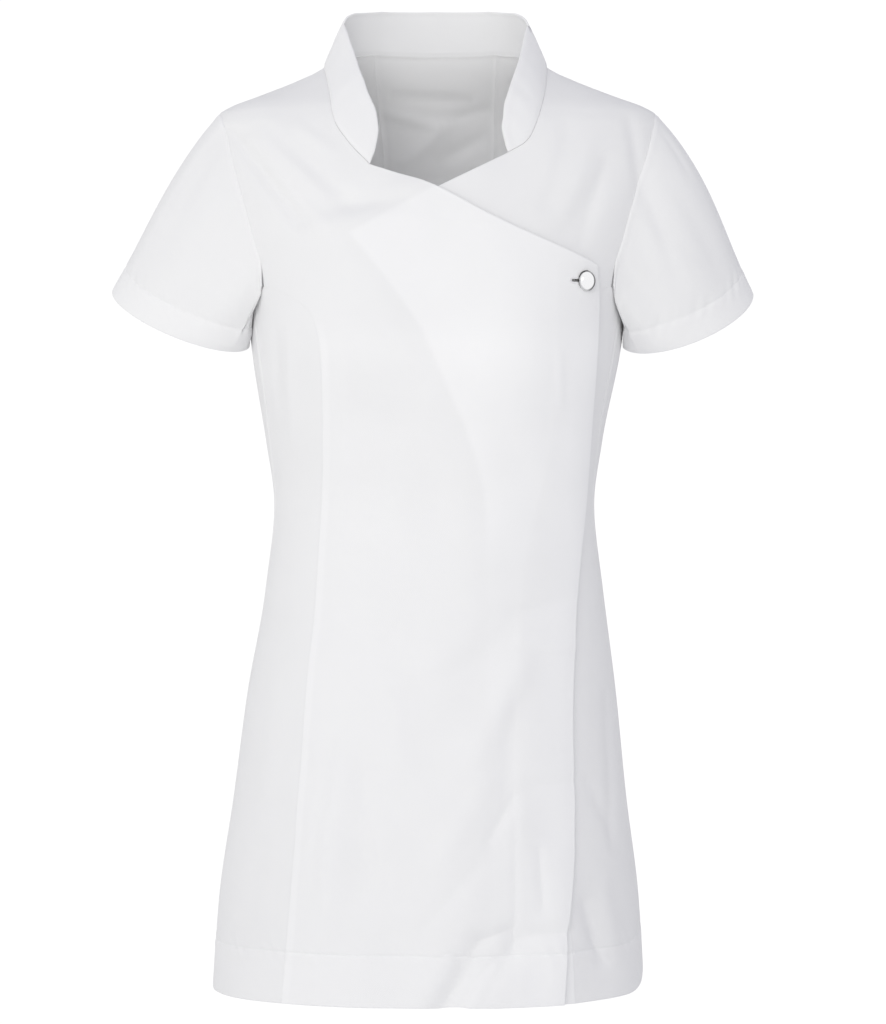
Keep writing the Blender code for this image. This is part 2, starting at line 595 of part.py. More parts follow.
def sleeve_grid(side, seam):
    """Rows from the armhole to the cuff: straight runs that swell a little on their way."""
    loop = join(seam["armhole_front"][::-1], seam["armhole_low"][::-1], seam["armhole_back"])[:-1]
    angle, height = loop[:, 0], loop[:, 1]
    normals = normal_of(cloth, angle, height)
    hole = cloth(angle, height) + normals * SLEEVE_STEP
    steps = np.linalg.norm(np.diff(np.concatenate([hole, hole[:1]]), axis=0), axis=1)
    travelled = np.concatenate([[0.0], np.cumsum(steps)])
    lowest = int(np.argmin(hole[:, 2]))
    turn = np.interp(travelled[:-1], [0.0, travelled[lowest], travelled[-1]], [0, math.pi, 2 * math.pi])

    row = dict(zip(CUFF_COLUMNS, next(r for r in CUFFS if r[0] == side)))
    outward = np.array([side * math.cos(row["drop"]), 0.0, math.sin(row["drop"])])
    level = np.array([-side * math.sin(row["front_turn"]), -math.cos(row["front_turn"]), 0.0])
    slope = np.where(np.sin(turn) > 0, row["front_drop"], row["back_drop"])[:, None]
    forward = level * np.cos(slope) - np.array([0.0, 0.0, 1.0]) * np.sin(slope)
    centre = np.array([row["centre_x"], row["centre_y"], row["height"]])
    cuff = (centre + outward * row["half_width"] * np.cos(turn)[:, None]
            + forward * row["half_depth"] * np.sin(turn)[:, None])

    t = np.linspace(0, 1, ROWS_SLEEVE + 1)[:, None, None]
    run = hole[None] * (1 - t) + cuff[None] * t
    sideways = (outward * np.cos(turn)[:, None] + np.array([0, -1.0, 0]) * np.sin(turn)[:, None])
    top = np.maximum(np.cos(turn), 0.0)[None, :, None] * SLEEVE_TOP_SWELL[side]
    around = np.abs(np.sin(turn))[None, :, None] * SLEEVE_SWELL
    swell = 6.75 * t * (1 - t) ** 2 * top + np.sin(math.pi * t) * around
    return clear_of_body(run + sideways[None] * swell)


def grid_normals(points, closed):
    """Normals of a grid of points from its neighbours' differences."""
    if closed:
        around = np.roll(points, -1, axis=1) - np.roll(points, 1, axis=1)
    else:
        around = np.gradient(points, axis=1)
    out = np.cross(around, np.gradient(points, axis=0))
    return out / np.linalg.norm(out, axis=-1, keepdims=True)


def build_sleeve(name, side, seam):
    """A short set-in sleeve; its columns start where the armhole's points are."""
    points = sleeve_grid(side, seam)
    points = points[:, ::-1] if side > 0 else points
    points = points[::-1]
    wall(name, draw_in(points, closed=True), grid_normals(points, True), CLOTH, WHITE_CLOTH, True)


def collar_sizes(places):
    """Rise, inward, back and swell at places on the neck seam, 0 to 18 from right to left."""
    near = np.minimum(places, 18 - places)
    known = column(COLLAR, COLLAR_COLUMNS, "place")
    sizes = []
    for pair in (("rise_right", "rise_left"), ("inward_right", "inward_left"),
                 ("back", "back"), ("swell", "swell")):
        right, left = (smooth_through(known, column(COLLAR, COLLAR_COLUMNS, name), near)
                       for name in pair)
        sizes.append(np.where(places < 9, right, left))
    return sizes


def build_collar(right, left):
    """Stand collar: a band from the neck seam to its free edge, lower at the open ends."""
    seam = join(right["neck_front"][::-1], right["neck_side"],
                straight(right["back_princess"][-1], unwrapped(left["back_princess"], -1)[-1],
                         COLUMNS_BACK_CENTRE),
                unwrapped(left["neck_side"], -1)[::-1], unwrapped(left["neck_front"], -1))
    angle, height = seam[:, 0], seam[:, 1]
    foot = cloth(angle, height) + normal_of(cloth, angle, height) * (CLOTH / 2 + SEAM_GAP)
    rise, inward, back, swell = collar_sizes(np.arange(len(seam)))
    outward = np.sign(foot[:, 0] - section("centre_x", NECK_SIDE[1]))
    edge = foot + np.stack([-outward * inward, back, rise], axis=-1)
    t = np.linspace(0, 1, ROWS_COLLAR + 1)[:, None, None]
    points = foot[None] * (1 - t) + edge[None] * t
    away = foot - foot.mean(axis=0)
    away[:, 2] = 0
    away /= np.linalg.norm(away, axis=-1, keepdims=True)
    points = points + np.sin(math.pi * t) * away[None] * swell[None, :, None]
    normals = grid_normals(points, False)
    points[0] += (points[1] - points[0]) * 0.03
    wall("collar", points[:, ::-1], -normals[:, ::-1], COLLAR_CLOTH, WHITE_CLOTH)


def button_frame():
    """Place on the body's middle surface under the button, turned so its Z points out."""
    across, height = BUTTON_AT
    angle = angle_at(np.array([across]), np.array([height]))
    place = cloth(angle, np.array([height]))[0] - [0, 0, MOUNT_HEIGHT]
    out = Vector(normal_of(cloth, angle, np.array([height]))[0])
    along = Vector((1, 0, 0))
    along = (along - out * along.dot(out)).normalized()
    turned = Matrix((along, out.cross(along), out)).transposed().to_4x4()
    return Matrix.Translation(Vector(place)) @ turned


def build_buttonhole(layers):
    """Slit through the wrap and its facing, cut by a box that isn't part of the tunic."""
    depth = WRAP_LIFT - FACING_LIFT + 4 * CLOTH
    middle = (WRAP_LIFT + FACING_LIFT) / 2
    mesh = bpy.data.meshes.new("buttonhole_cutter")
    half = Vector((BUTTONHOLE_LENGTH / 2, BUTTONHOLE_WIDTH / 2, depth / 2))
    corners = [Vector((x * half.x, y * half.y, z * half.z))
               for x in (-1, 1) for y in (-1, 1) for z in (-1, 1)]
    sides = [(0, 1, 3, 2), (4, 6, 7, 5), (0, 4, 5, 1), (2, 3, 7, 6), (0, 2, 6, 4), (1, 5, 7, 3)]
    mesh.from_pydata(corners, [], sides)
    cutter = bpy.data.objects.new("buttonhole_cutter", mesh)
    cutter.matrix_world = button_frame() @ Matrix.Translation((-BUTTONHOLE_OFFSET, 0, middle))
    cutter.hide_render = True
    cutter.display_type = "WIRE"
    bpy.context.scene.collection.objects.link(cutter)
    for layer in layers:
        cut = layer.modifiers.new("buttonhole", "BOOLEAN")
        cut.operation = "DIFFERENCE"
        cut.object = cutter


def build_button():
    """Metal dome button, turned: dome, rim, flat back and a shank down to the underlap."""
    seat = WRAP_LIFT + CLOTH / 2 + SEAM_GAP
    foot = CLOTH / 2 + SEAM_GAP
    lean = np.linspace(0, math.pi / 2, BUTTON_RINGS + 1)[1:]
    profile = [(BUTTON_RADIUS * math.sin(a), seat + BUTTON_EDGE + BUTTON_DOME * math.cos(a))
               for a in lean]
    profile += [(BUTTON_RADIUS * 0.94, seat), (BUTTON_SHANK_RADIUS, seat), (BUTTON_SHANK_RADIUS, foot)]
    turn = np.arange(BUTTON_SIDES) * 2 * math.pi / BUTTON_SIDES
    rings = [np.stack([r * np.cos(turn), r * np.sin(turn), 0 * turn + z], 1) for r, z in profile]
    top = [[0, 0, seat + BUTTON_EDGE + BUTTON_DOME]]
    bottom = [[0, 0, foot]]
    vertices = np.concatenate([top] + rings + [bottom])
    faces = []
    for k in range(BUTTON_SIDES):
        n = (k + 1) % BUTTON_SIDES
        faces.append((0, 1 + k, 1 + n))
        for ring in range(len(profile) - 1):
            start = 1 + ring * BUTTON_SIDES
            faces.append((start + k, start + BUTTON_SIDES + k, start + BUTTON_SIDES + n, start + n))
        last = 1 + (len(profile) - 1) * BUTTON_SIDES
        faces.append((last + k, len(vertices) - 1, last + n))
    mesh = bpy.data.meshes.new("button")
    mesh.from_pydata(vertices.tolist(), [], faces)
    mesh.shade_smooth()
    mesh.set_sharp_from_angle(angle=math.radians(40))
    button = add_object("button", mesh, STEEL, metallic=1.0, roughness=0.2)
    button.matrix_world = button_frame()


for old in list(bpy.data.objects):
    bpy.data.objects.remove(old, do_unlink=True)

RIGHT = seams(-1)
LEFT = seams(1)
build_buttonhole(build_fronts(RIGHT, LEFT))
build_button()
build_back(RIGHT, LEFT)
build_sleeve("sleeve_right", -1, RIGHT)
build_sleeve("sleeve_left", 1, LEFT)
build_collar(RIGHT, LEFT)
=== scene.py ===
"""White wrap-front work tunic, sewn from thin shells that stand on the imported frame.

Metres, +Z up, the front faces -Y, the wearer's left is +X.  Heights are measured up from
the hem, MOUNT_HEIGHT below the origin.  The body is one surface(angle, height); a cut piece
is a Coons patch between its seams, and its cloth stands on that patch's normals.
"""
import math

import bpy
import numpy as np
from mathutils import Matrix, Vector


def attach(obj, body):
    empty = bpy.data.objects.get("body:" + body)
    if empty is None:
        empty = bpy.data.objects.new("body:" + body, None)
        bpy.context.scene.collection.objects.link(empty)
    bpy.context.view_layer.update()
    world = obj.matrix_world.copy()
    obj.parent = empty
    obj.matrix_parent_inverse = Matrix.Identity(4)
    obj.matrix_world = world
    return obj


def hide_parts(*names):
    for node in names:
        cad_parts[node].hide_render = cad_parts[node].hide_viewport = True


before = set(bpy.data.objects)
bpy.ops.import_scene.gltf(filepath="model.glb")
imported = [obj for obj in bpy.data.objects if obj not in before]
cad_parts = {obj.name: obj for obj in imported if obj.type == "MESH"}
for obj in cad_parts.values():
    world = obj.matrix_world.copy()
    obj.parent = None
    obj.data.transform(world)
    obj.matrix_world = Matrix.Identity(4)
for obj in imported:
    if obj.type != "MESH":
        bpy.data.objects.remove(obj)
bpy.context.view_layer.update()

# ---- cloth and seams ------------------------------------------------------------------
MOUNT_HEIGHT = 0.790
SKIN_OUT = 0.00050          # cloth's face over the pattern surface
SKIN_IN = 0.00035           # cloth's back under it
FACING_LIFT = 0.0024
WRAP_LIFT = 0.0042
HEM_DEPTH = 0.0440          # turned-up hem of the body
CUFF_DEPTH = 0.0250         # turned-up hem of a sleeve
TURNED_UP = 0.0008          # a hem's second layer, behind the first
FOLD_RADIUS = 0.0012        # rounding of a folded edge
COLLAR_RADIUS = 0.0014      # rounding of the collar's folded edges
FACING_EDGE_THICK = 0.0011  # cloth folded back behind the facing's front edge
PRINCESS_RIDGE = 0.00036    # pressed edge along the front princess seams
PRINCESS_RIDGE_TOP = (0.555, 0.592)     # heights between which it fades out
SEAM_LAYERS = 0.7           # how far a seam's tone goes towards a second layer
SEAM_TONE_WIDTH = 0.0030
SLEEVE_CLEAR = 0.0026
SLEEVE_SWELL = 0.006
SLEEVE_TOP_SWELL = {-1: 0.006, 1: 0.009}
HEM_RISE = {-1: 0.0, 1: 0.014}          # the hem at the side seams
BUTTON_AT = (0.1235, 0.6155)
BUTTON_RADIUS = 0.0090
BUTTON_RIM = 0.0007         # radius of the rolled rim
DOME_FOOT, DOME_RISE = 0.0016, 0.0046
SHANK_RADIUS = 0.0008
SLIT_LENGTH = 0.0190
SLIT_WIDTH = 0.0024
SLIT_OFFSET = 0.0055        # the button sits at the slit's outer end
STITCH_STEP, STITCH_LENGTH, STITCH_RADIUS = 0.00055, 0.0019, 0.00030
ROUND_SIDES, SLIT_SIDES = 64, 24

# ---- horizontal sections of the body ------------------------------------------------
MEAN_RADIUS = 0.15          # turns angles into lengths along a seam
SECTION_COLUMNS = ("height", "half_width", "centre_x", "middle_y", "front", "back", "square")
SECTIONS = (
    (0.000, 0.1885, -0.0050, 0.000, 0.1420, 0.1480, 2.05),
    (0.080, 0.1835, -0.0045, 0.000, 0.1400, 0.1450, 2.05),
    (0.170, 0.1715, -0.0035, 0.000, 0.1340, 0.1380, 2.08),
    (0.260, 0.1610, -0.0020, 0.000, 0.1230, 0.1240, 2.10),
    (0.350, 0.1475, 0.0002, 0.000, 0.1090, 0.1060, 2.15),
    (0.425, 0.1402, 0.0002, 0.000, 0.1010, 0.0960, 2.20),
    (0.480, 0.1472, 0.0002, 0.000, 0.1070, 0.0980, 2.25),
    (0.560, 0.1615, 0.0020, 0.000, 0.1190, 0.1040, 2.30),
    (0.604, 0.1665, 0.0030, 0.001, 0.1180, 0.1060, 2.30),
    (0.660, 0.1850, 0.0038, 0.004, 0.1110, 0.1010, 2.30),
    (0.700, 0.1950, 0.0042, 0.007, 0.1010, 0.0930, 2.30),
    (0.737, 0.1990, 0.0043, 0.010, 0.0860, 0.0820, 2.28),
    (0.756, 0.1980, 0.0038, 0.011, 0.0760, 0.0760, 2.24),
    (0.768, 0.1920, 0.0030, 0.012, 0.0680, 0.0720, 2.20),
    (0.774, 0.1825, 0.0026, 0.012, 0.0630, 0.0700, 2.18),
    (0.784, 0.1560, 0.0022, 0.012, 0.0530, 0.0660, 2.15),
    (0.798, 0.1210, 0.0018, 0.012, 0.0370, 0.0600, 2.10),
    (0.810, 0.0975, 0.0014, 0.012, 0.0230, 0.0560, 2.05),
    (0.832, 0.0790, 0.0010, 0.012, 0.0120, 0.0500, 2.00),
)
BUST = dict(across=0.078, height=0.560, wide=0.050, tall=0.070, proud=0.009)

# ---- largest folds: soft ridges (+) and troughs (-) between two points ---------------
# face (+1 in front, -1 behind), across and height of one end, across and height of the
# other, width, depth; across is measured from the body's centre line
FOLDS = (
    (1, -0.172, 0.745, -0.115, 0.672, 0.011, -0.0035),
    (1, -0.150, 0.748, -0.095, 0.690, 0.012, 0.0030),
    (1, 0.148, 0.715, 0.112, 0.660, 0.012, -0.0030),
    (1, 0.060, 0.320, -0.002, 0.205, 0.022, -0.0035),
    (1, -0.082, 0.190, -0.098, 0.050, 0.018, 0.0035),
    (1, -0.060, 0.195, -0.060, 0.090, 0.014, -0.0025),
    (1, 0.072, 0.055, 0.005, -0.010, 0.013, -0.0060),
    (1, 0.110, 0.120, 0.118, 0.030, 0.018, 0.0040),
    (1, -0.020, 0.130, -0.030, 0.000, 0.026, -0.0025),
    (-1, 0.090, 0.740, 0.120, 0.640, 0.016, -0.0030),
    (-1, -0.090, 0.735, -0.125, 0.640, 0.015, -0.0035),
    (-1, 0.050, 0.420, 0.060, 0.330, 0.018, -0.0040),
    (-1, -0.055, 0.400, -0.062, 0.300, 0.017, -0.0040),
    (-1, 0.080, 0.160, 0.095, 0.000, 0.024, 0.0045),
    (-1, -0.035, 0.170, -0.045, 0.000, 0.026, -0.0040),
    (-1, -0.115, 0.150, -0.125, 0.010, 0.020, 0.0035),
)

# ---- seams: (distance from the centre line, height), or (angle, height) on the sides --
FRONT_PRINCESS = (
    (0.1245, 0.000), (0.1205, 0.045), (0.1166, 0.105), (0.1128, 0.156), (0.1095, 0.224),
    (0.1062, 0.275), (0.1025, 0.326), (0.0992, 0.377), (0.0962, 0.430), (0.0950, 0.471),
    (0.0957, 0.513), (0.0985, 0.556), (0.1070, 0.586), (0.1235, 0.601),
)
ARMHOLE_FRONT = (
    (0.1495, 0.6130), (0.1545, 0.640), (0.1640, 0.672), (0.1745, 0.706), (0.1835, 0.740),
    (0.1895, 0.764),
)
UNDERARM = (70.0, 0.600)
ARMHOLE_UNDER = ((90.0, 0.598), (108.0, 0.612))
ARMHOLE_BACK = ((118.0, 0.650), (120.0, 0.700), (113.0, 0.745))
SHOULDER_TIP = (88.0, 0.7690)
SIDE_SEAM = ((90.0, 0.0), (90.0, 0.20), (86.0, 0.34), (76.0, 0.44), (68.0, 0.55))
SHOULDER_NECK = (86.0, 0.8095)
SHOULDER_MIDDLE = (87.0, 0.7875)
BACK_PRINCESS = ((0.0720, 0.000), (0.0690, 0.120), (0.0600, 0.250), (0.0500, 0.400))
BACK_PRINCESS_UNDERARM = ((0.0480, 0.565), (0.0480, 0.605))
BACK_PRINCESS_UPPER = ((0.0485, 0.700), (0.0520, 0.780))
BACK_PRINCESS_NECK = (0.0550, 0.8262)
NECK_SIDE = (108.0, 0.8207)
NECK_FRONT = {-1: ((0.0935, 0.7860), (0.0900, 0.7580), (0.0785, 0.7375)),
              1: ((0.0945, 0.7860), (0.0858, 0.7580), (0.0755, 0.7375))}
NECK_END_RIGHT = (0.0590, 0.7160)
NECK_END_LEFT = (0.0592, 0.7270)
# wrap and underlap edges, signed distance from the centre line
WRAP_EDGE = (
    (0.1134, 0.000), (0.1145, 0.055), (0.1215, 0.145), (0.1188, 0.250), (0.1193, 0.320),
    (0.1230, 0.370), (0.1294, 0.440), (0.1345, 0.530), (0.1362, 0.595),
)
WRAP_CORNER = (0.1340, 0.6300)
WRAP_NECKLINE = ((-0.0040, 0.6960), (0.0430, 0.6705), (0.0860, 0.6510), (0.1230, 0.6350))
UNDER_EDGE = (
    (0.0530, 0.000), (0.0520, 0.200), (0.0460, 0.330), (0.0436, 0.400), (0.0415, 0.437),
    (0.0355, 0.462), (0.0255, 0.492), (0.0060, 0.534), (-0.0140, 0.575), (-0.0460, 0.619),
)
UNDER_CORNER = (-0.0750, 0.6550)
UNDER_NECKLINE = ((0.0290, 0.7110), (-0.0040, 0.6950), (-0.0330, 0.6780))
# inner edge of the wrap's facing
FACING_INNER = (
    (0.0755, 0.000), (0.0750, 0.060), (0.0730, 0.200), (0.0716, 0.334), (0.0795, 0.394),
    (0.0915, 0.445), (0.0985, 0.496), (0.1000, 0.552), (0.1000, 0.640),
)

# ---- cuffs: an oval in a tilted plane ------------------------------------------------
CUFF_COLUMNS = ("side", "centre_x", "centre_y", "height", "half_width", "half_depth",
                "drop", "front_drop", "back_drop", "front_turn")
CUFFS = (
    (-1, -0.2225, -0.001, 0.5885, 0.0645, 0.0500, 0.345, 0.46, 0.42, 0.12),
    (1, 0.2225, -0.001, 0.5885, 0.0615, 0.0500, 0.315, 0.56, 0.42, 0.12),
)

# ---- collar: how far its free edge stands above and inside the neck seam --------------
# place runs from 0 at the front end, 3 at the shoulder, 6 at the back seam, to 9 at the middle
COLLAR_COLUMNS = ("place", "rise_right", "inward_right", "rise_left", "inward_left", "back",
                  "swell")
COLLAR = (
    (0.0, 0.0103, 0.0038, 0.0053, 0.0021, 0.0020, 0.0000),
    (0.5, 0.0201, 0.0192, 0.0175, 0.0187, 0.0040, 0.0005),
    (1.0, 0.0264, 0.0262, 0.0248, 0.0247, 0.0065, 0.0010),
    (1.5, 0.0290, 0.0275, 0.0272, 0.0244, 0.0080, 0.0020),
    (2.0, 0.0308, 0.0242, 0.0288, 0.0228, 0.0085, 0.0025),
    (2.5, 0.0345, 0.0207, 0.0325, 0.0207, 0.0070, 0.0020),
    (3.0, 0.0395, 0.0173, 0.0380, 0.0176, 0.0045, 0.0010),
    (3.5, 0.0415, 0.0153, 0.0411, 0.0152, 0.0030, 0.0010),
    (4.0, 0.0407, 0.0141, 0.0406, 0.0141, 0.0020, 0.0010),
    (5.0, 0.0390, 0.0113, 0.0389, 0.0117, 0.0000, 0.0010),
    (6.0, 0.0388, 0.0077, 0.0388, 0.0074, -0.0010, 0.0010),
    (7.5, 0.0395, 0.0036, 0.0395, 0.0040, -0.0010, 0.0010),
    (9.0, 0.0402, 0.0000, 0.0402, 0.0000, -0.0010, 0.0010),
)

# finer creases, in the columns of FOLDS
CREASES = (
    (1, -0.184, 0.753, -0.119, 0.664, 0.0060, -0.0026),
    (1, -0.164, 0.741, -0.097, 0.660, 0.0065, 0.0022),
    (1, -0.151, 0.751, -0.080, 0.685, 0.0085, -0.0030),
    (1, -0.086, 0.678, -0.031, 0.683, 0.0100, -0.0034),
    (1, -0.120, 0.750, -0.094, 0.729, 0.0070, 0.0016),
    (1, -0.169, 0.684, -0.157, 0.634, 0.0040, 0.0012),
    (1, -0.138, 0.570, -0.133, 0.510, 0.0040, -0.0012),
    (1, -0.127, 0.574, -0.122, 0.480, 0.0050, 0.0012),
    (1, -0.078, 0.572, -0.080, 0.377, 0.0100, 0.0012),
    (1, -0.133, 0.265, -0.144, 0.145, 0.0100, 0.0014),
    (1, -0.144, 0.137, -0.157, 0.059, 0.0095, -0.0015),
    (1, -0.085, 0.220, -0.099, 0.098, 0.0060, -0.0018),
    (1, -0.087, 0.115, -0.082, 0.065, 0.0075, 0.0012),
    (1, -0.057, 0.191, -0.053, 0.099, 0.0080, -0.0020),
    (1, -0.034, 0.267, -0.024, 0.209, 0.0100, 0.0012),
    (1, 0.006, 0.120, 0.044, 0.185, 0.0110, 0.0022),
    (1, 0.042, 0.218, 0.074, 0.290, 0.0110, 0.0024),
    (1, 0.057, 0.134, 0.070, 0.254, 0.0105, -0.0019),
    (1, -0.018, 0.259, 0.057, 0.309, 0.0110, -0.0015),
    (1, 0.067, 0.333, 0.108, 0.341, 0.0075, -0.0015),
    (1, 0.074, 0.309, 0.114, 0.303, 0.0060, 0.0012),
    (1, 0.080, 0.186, 0.116, 0.189, 0.0065, -0.0014),
    (1, 0.069, 0.174, 0.048, 0.140, 0.0060, -0.0020),
    (1, -0.003, 0.066, 0.040, 0.120, 0.0085, -0.0018),
    (1, 0.090, 0.133, 0.094, 0.083, 0.0040, -0.0014),
    (1, 0.070, 0.069, 0.042, 0.056, 0.0055, -0.0026),
    (1, 0.042, 0.058, 0.012, 0.000, 0.0105, -0.0062),
    (1, 0.060, 0.048, 0.033, 0.004, 0.0070, 0.0030),
    (1, 0.074, 0.060, 0.116, 0.062, 0.0085, -0.0030),
    (1, 0.055, 0.042, 0.029, 0.002, 0.0040, -0.0018),
    (1, 0.070, 0.180, 0.072, 0.048, 0.0032, -0.0008),
    (1, 0.112, 0.750, 0.093, 0.681, 0.0075, -0.0017),
    (1, 0.130, 0.734, 0.109, 0.673, 0.0070, 0.0013),
    (1, 0.144, 0.722, 0.121, 0.646, 0.0055, -0.0016),
    (1, 0.104, 0.730, 0.097, 0.697, 0.0100, 0.0014),
    (1, 0.167, 0.758, 0.176, 0.691, 0.0060, -0.0024),
    (1, 0.132, 0.083, 0.150, 0.033, 0.0065, -0.0034),
    (1, 0.148, 0.096, 0.159, 0.050, 0.0070, 0.0020),
    (1, 0.151, 0.264, 0.157, 0.127, 0.0040, -0.0014),
    (1, 0.135, 0.188, 0.165, 0.124, 0.0055, -0.0014),
    (1, 0.102, 0.554, 0.105, 0.510, 0.0025, 0.0008),
    (1, 0.004, 0.530, -0.029, 0.411, 0.0180, 0.0012),
    (1, 0.056, 0.496, 0.091, 0.411, 0.0140, -0.0012),
    (1, -0.064, 0.513, -0.012, 0.454, 0.0150, -0.0012),
    (-1, -0.160, 0.720, -0.110, 0.640, 0.0080, -0.0018),
    (-1, 0.155, 0.725, 0.112, 0.630, 0.0085, -0.0020),
    (-1, -0.080, 0.470, 0.060, 0.440, 0.0100, -0.0014),
    (-1, 0.095, 0.430, 0.020, 0.395, 0.0095, 0.0014),
    (-1, -0.105, 0.400, -0.045, 0.370, 0.0090, -0.0013),
    (-1, 0.030, 0.090, 0.040, 0.000, 0.0110, -0.0022),
    (-1, -0.090, 0.110, -0.080, 0.000, 0.0120, 0.0020),
    (-1, 0.130, 0.100, 0.140, 0.000, 0.0110, -0.0018),
    (-1, -0.040, 0.792, 0.030, 0.787, 0.0050, 0.0022),
    (-1, -0.048, 0.778, 0.000, 0.766, 0.0050, -0.0024),
    (-1, 0.045, 0.780, 0.010, 0.772, 0.0045, 0.0020),
    (-1, -0.030, 0.735, 0.010, 0.768, 0.0070, -0.0034),
    (-1, 0.000, 0.735, 0.040, 0.755, 0.0070, 0.0030),
    (-1, -0.045, 0.712, 0.030, 0.722, 0.0080, 0.0024),
)

# slack of hanging cloth: shares of the place across, of the lines' wander and of the
# height, then the wave's length, phase and size
SLACK_WAVES = (
    (1.00, 1.0, 0.00, 0.083, 0.0, 1.0),
    (1.00, -0.8, 0.25, 0.057, 1.3, 0.7),
    (0.35, 0.0, 1.00, 0.112, 0.4, 0.5),
)
SLACK_HEIGHT = 0.00055
# puckers along a stitched hem: wave length, phase, size
PUCKER_WAVES = ((0.0173, 0.0, 1.0), (0.0121, 1.0, 1.0), (0.0410, 0.0, 0.8))

# fine grid: every edge is counted in units, from the hem to the underarm and on to the
# shoulder; lines to one unit, and extra lines beside an edge
TO_UNDERARM, TO_SHOULDER = 22, 31
LINES_UP, LINES_ACROSS = 11, 6
BESIDE_EDGE = (0.0004, 0.0008, 0.0013, 0.0019, 0.0027, 0.0037, 0.0050)


def column(table, names, name):
    """One named column of a table as an array."""
    return np.array([row[names.index(name)] for row in table])


def smooth_through(xs, ys, x):
    """Cubic through rising xs whose slopes never overshoot (harmonic mean of neighbours)."""
    xs, ys = np.asarray(xs, float), np.asarray(ys, float)
    steps = np.diff(xs)
    rises = np.diff(ys) / steps
    slopes = np.empty(len(xs))
    slopes[0], slopes[-1] = rises[0], rises[-1]
    before, after = rises[:-1], rises[1:]
    same_way = before * after > 0
    total = np.where(same_way, before + after, 1.0)
    slopes[1:-1] = np.where(same_way, 2 * before * after / total, 0.0)
    x = np.clip(x, xs[0], xs[-1])
    i = np.clip(np.searchsorted(xs, x) - 1, 0, len(xs) - 2)
    h = steps[i]
    t = (x - xs[i]) / h
    return ((2 * t**3 - 3 * t**2 + 1) * ys[i] + (t**3 - 2 * t**2 + t) * h * slopes[i]
            + (3 * t**2 - 2 * t**3) * ys[i + 1] + (t**3 - t**2) * h * slopes[i + 1])


def section(name, height):
    """A size of the body's section at a height."""
    heights = column(SECTIONS, SECTION_COLUMNS, "height")
    return smooth_through(heights, column(SECTIONS, SECTION_COLUMNS, name), height)


def ease(low, high, value):
    """0 below low, 1 above high, a smooth S between."""
    t = np.clip((value - low) / (high - low), 0.0, 1.0)
    return t * t * (3 - 2 * t)


def bell(distance, width):
    """1 at 0, falling away as a Gaussian."""
    return np.exp(-((distance / width) ** 2))


def running(steps, axis=0):
    """Running total of steps, from 0."""
    start = np.zeros_like(steps.take([0], axis=axis))
    return np.concatenate([start, np.cumsum(steps, axis=axis)], axis=axis)


def seen_place(angle, height):
    """Distance across from the section's middle, and the share forward: a superellipse."""
    square = section("square", height)
    sine, cosine = np.sin(angle), np.cos(angle)
    reach = (np.abs(sine) ** square + np.abs(cosine) ** square) ** (-1.0 / square)
    return section("half_width", height) * (reach * sine), reach * cosine


def bare_body(angle, height):
    """The body without folds.  angle is 0 in front, +90 degrees at +X, 180 behind."""
    x, forward = seen_place(angle, height)
    depth = np.where(forward > 0, section("front", height), section("back", height))
    y = section("middle_y", height) - depth * forward
    lobes = bell(x - BUST["across"], BUST["wide"]) + bell(x + BUST["across"], BUST["wide"])
    lobes = lobes * bell(height - BUST["height"], BUST["tall"])
    y = y - BUST["proud"] * lobes * ease(0.0, 0.5, forward)
    return np.stack([x + section("centre_x", height), y, height + 0 * x], axis=-1)


def normal_of(surface, angle, height):
    """Outward unit normal of a surface(angle, height), from its two tangents."""
    turn, rise = 0.004, 0.0008
    around = surface(angle + turn, height) - surface(angle - turn, height)
    up = surface(angle, height + rise) - surface(angle, height - rise)
    out = np.cross(around, up)
    return out / np.linalg.norm(out, axis=-1, keepdims=True)


def fold_relief(angle, height, table):
    """Sum of a table's rows: a bell across each line between two points, lower at its ends."""
    x, forward = seen_place(angle, height)
    total = np.zeros_like(x)
    for face, x0, z0, x1, z1, width, depth in table:
        length = math.hypot(x1 - x0, z1 - z0)
        along = ((x - x0) * (x1 - x0) + (height - z0) * (z1 - z0)) / length**2
        along = np.clip(along, 0.0, 1.0)
        away = np.hypot(x - x0 - along * (x1 - x0), height - z0 - along * (z1 - z0))
        ends = 0.35 + 0.65 * np.sin(math.pi * (0.15 + 0.7 * along))
        total += depth * (bell(away, width) * ends) * ease(0.05, 0.35, face * forward)
    return total


def undulation(angle, height):
    """Slack of hanging cloth: three long, mostly upright waves whose lines wander."""
    x, forward = seen_place(angle, height)
    x = x + 0.11 * np.sign(forward) * height
    wander = 0.012 * np.sin(height * 17.0) + 0.007 * np.sin(height * 41.0 + 2.0)
    waves = sum(size * np.sin(math.tau * (of_x * x + of_wander * wander + of_height * height)
                              / length + phase)
                for of_x, of_wander, of_height, length, phase, size in SLACK_WAVES)
    slack = 0.35 + 0.65 * ease(0.10, 0.35, np.abs(height - 0.46))
    faces = ease(0.02, 0.30, np.abs(forward)) * ease(0.0, 0.05, 0.80 - height)
    return SLACK_HEIGHT * waves * slack * faces


def cloth(angle, height):
    """The body with its folds, finer creases and slack, along the bare body's normals."""
    relief = (fold_relief(angle, height, FOLDS) + fold_relief(angle, height, CREASES)
              + undulation(angle, height))
    return bare_body(angle, height) + normal_of(bare_body, angle, height) * relief[..., None]


def angle_at(across, height, face=1):
    """Angle of the point at a signed distance from the centre line, in front or behind."""
    square = section("square", height)
    share = np.clip(across / section("half_width", height), -1, 1)
    forward = (1 - np.abs(share) ** square) ** (1 / square)
    return np.arctan2(share, face * forward)


def side_length(height):
    """Length of the body's side profile up to a height."""
    heights = np.linspace(0.0, SECTIONS[-1][0], 400)
    lengths = running(np.hypot(np.diff(heights), np.diff(section("half_width", heights))))
    return np.interp(height, heights, lengths), heights, lengths


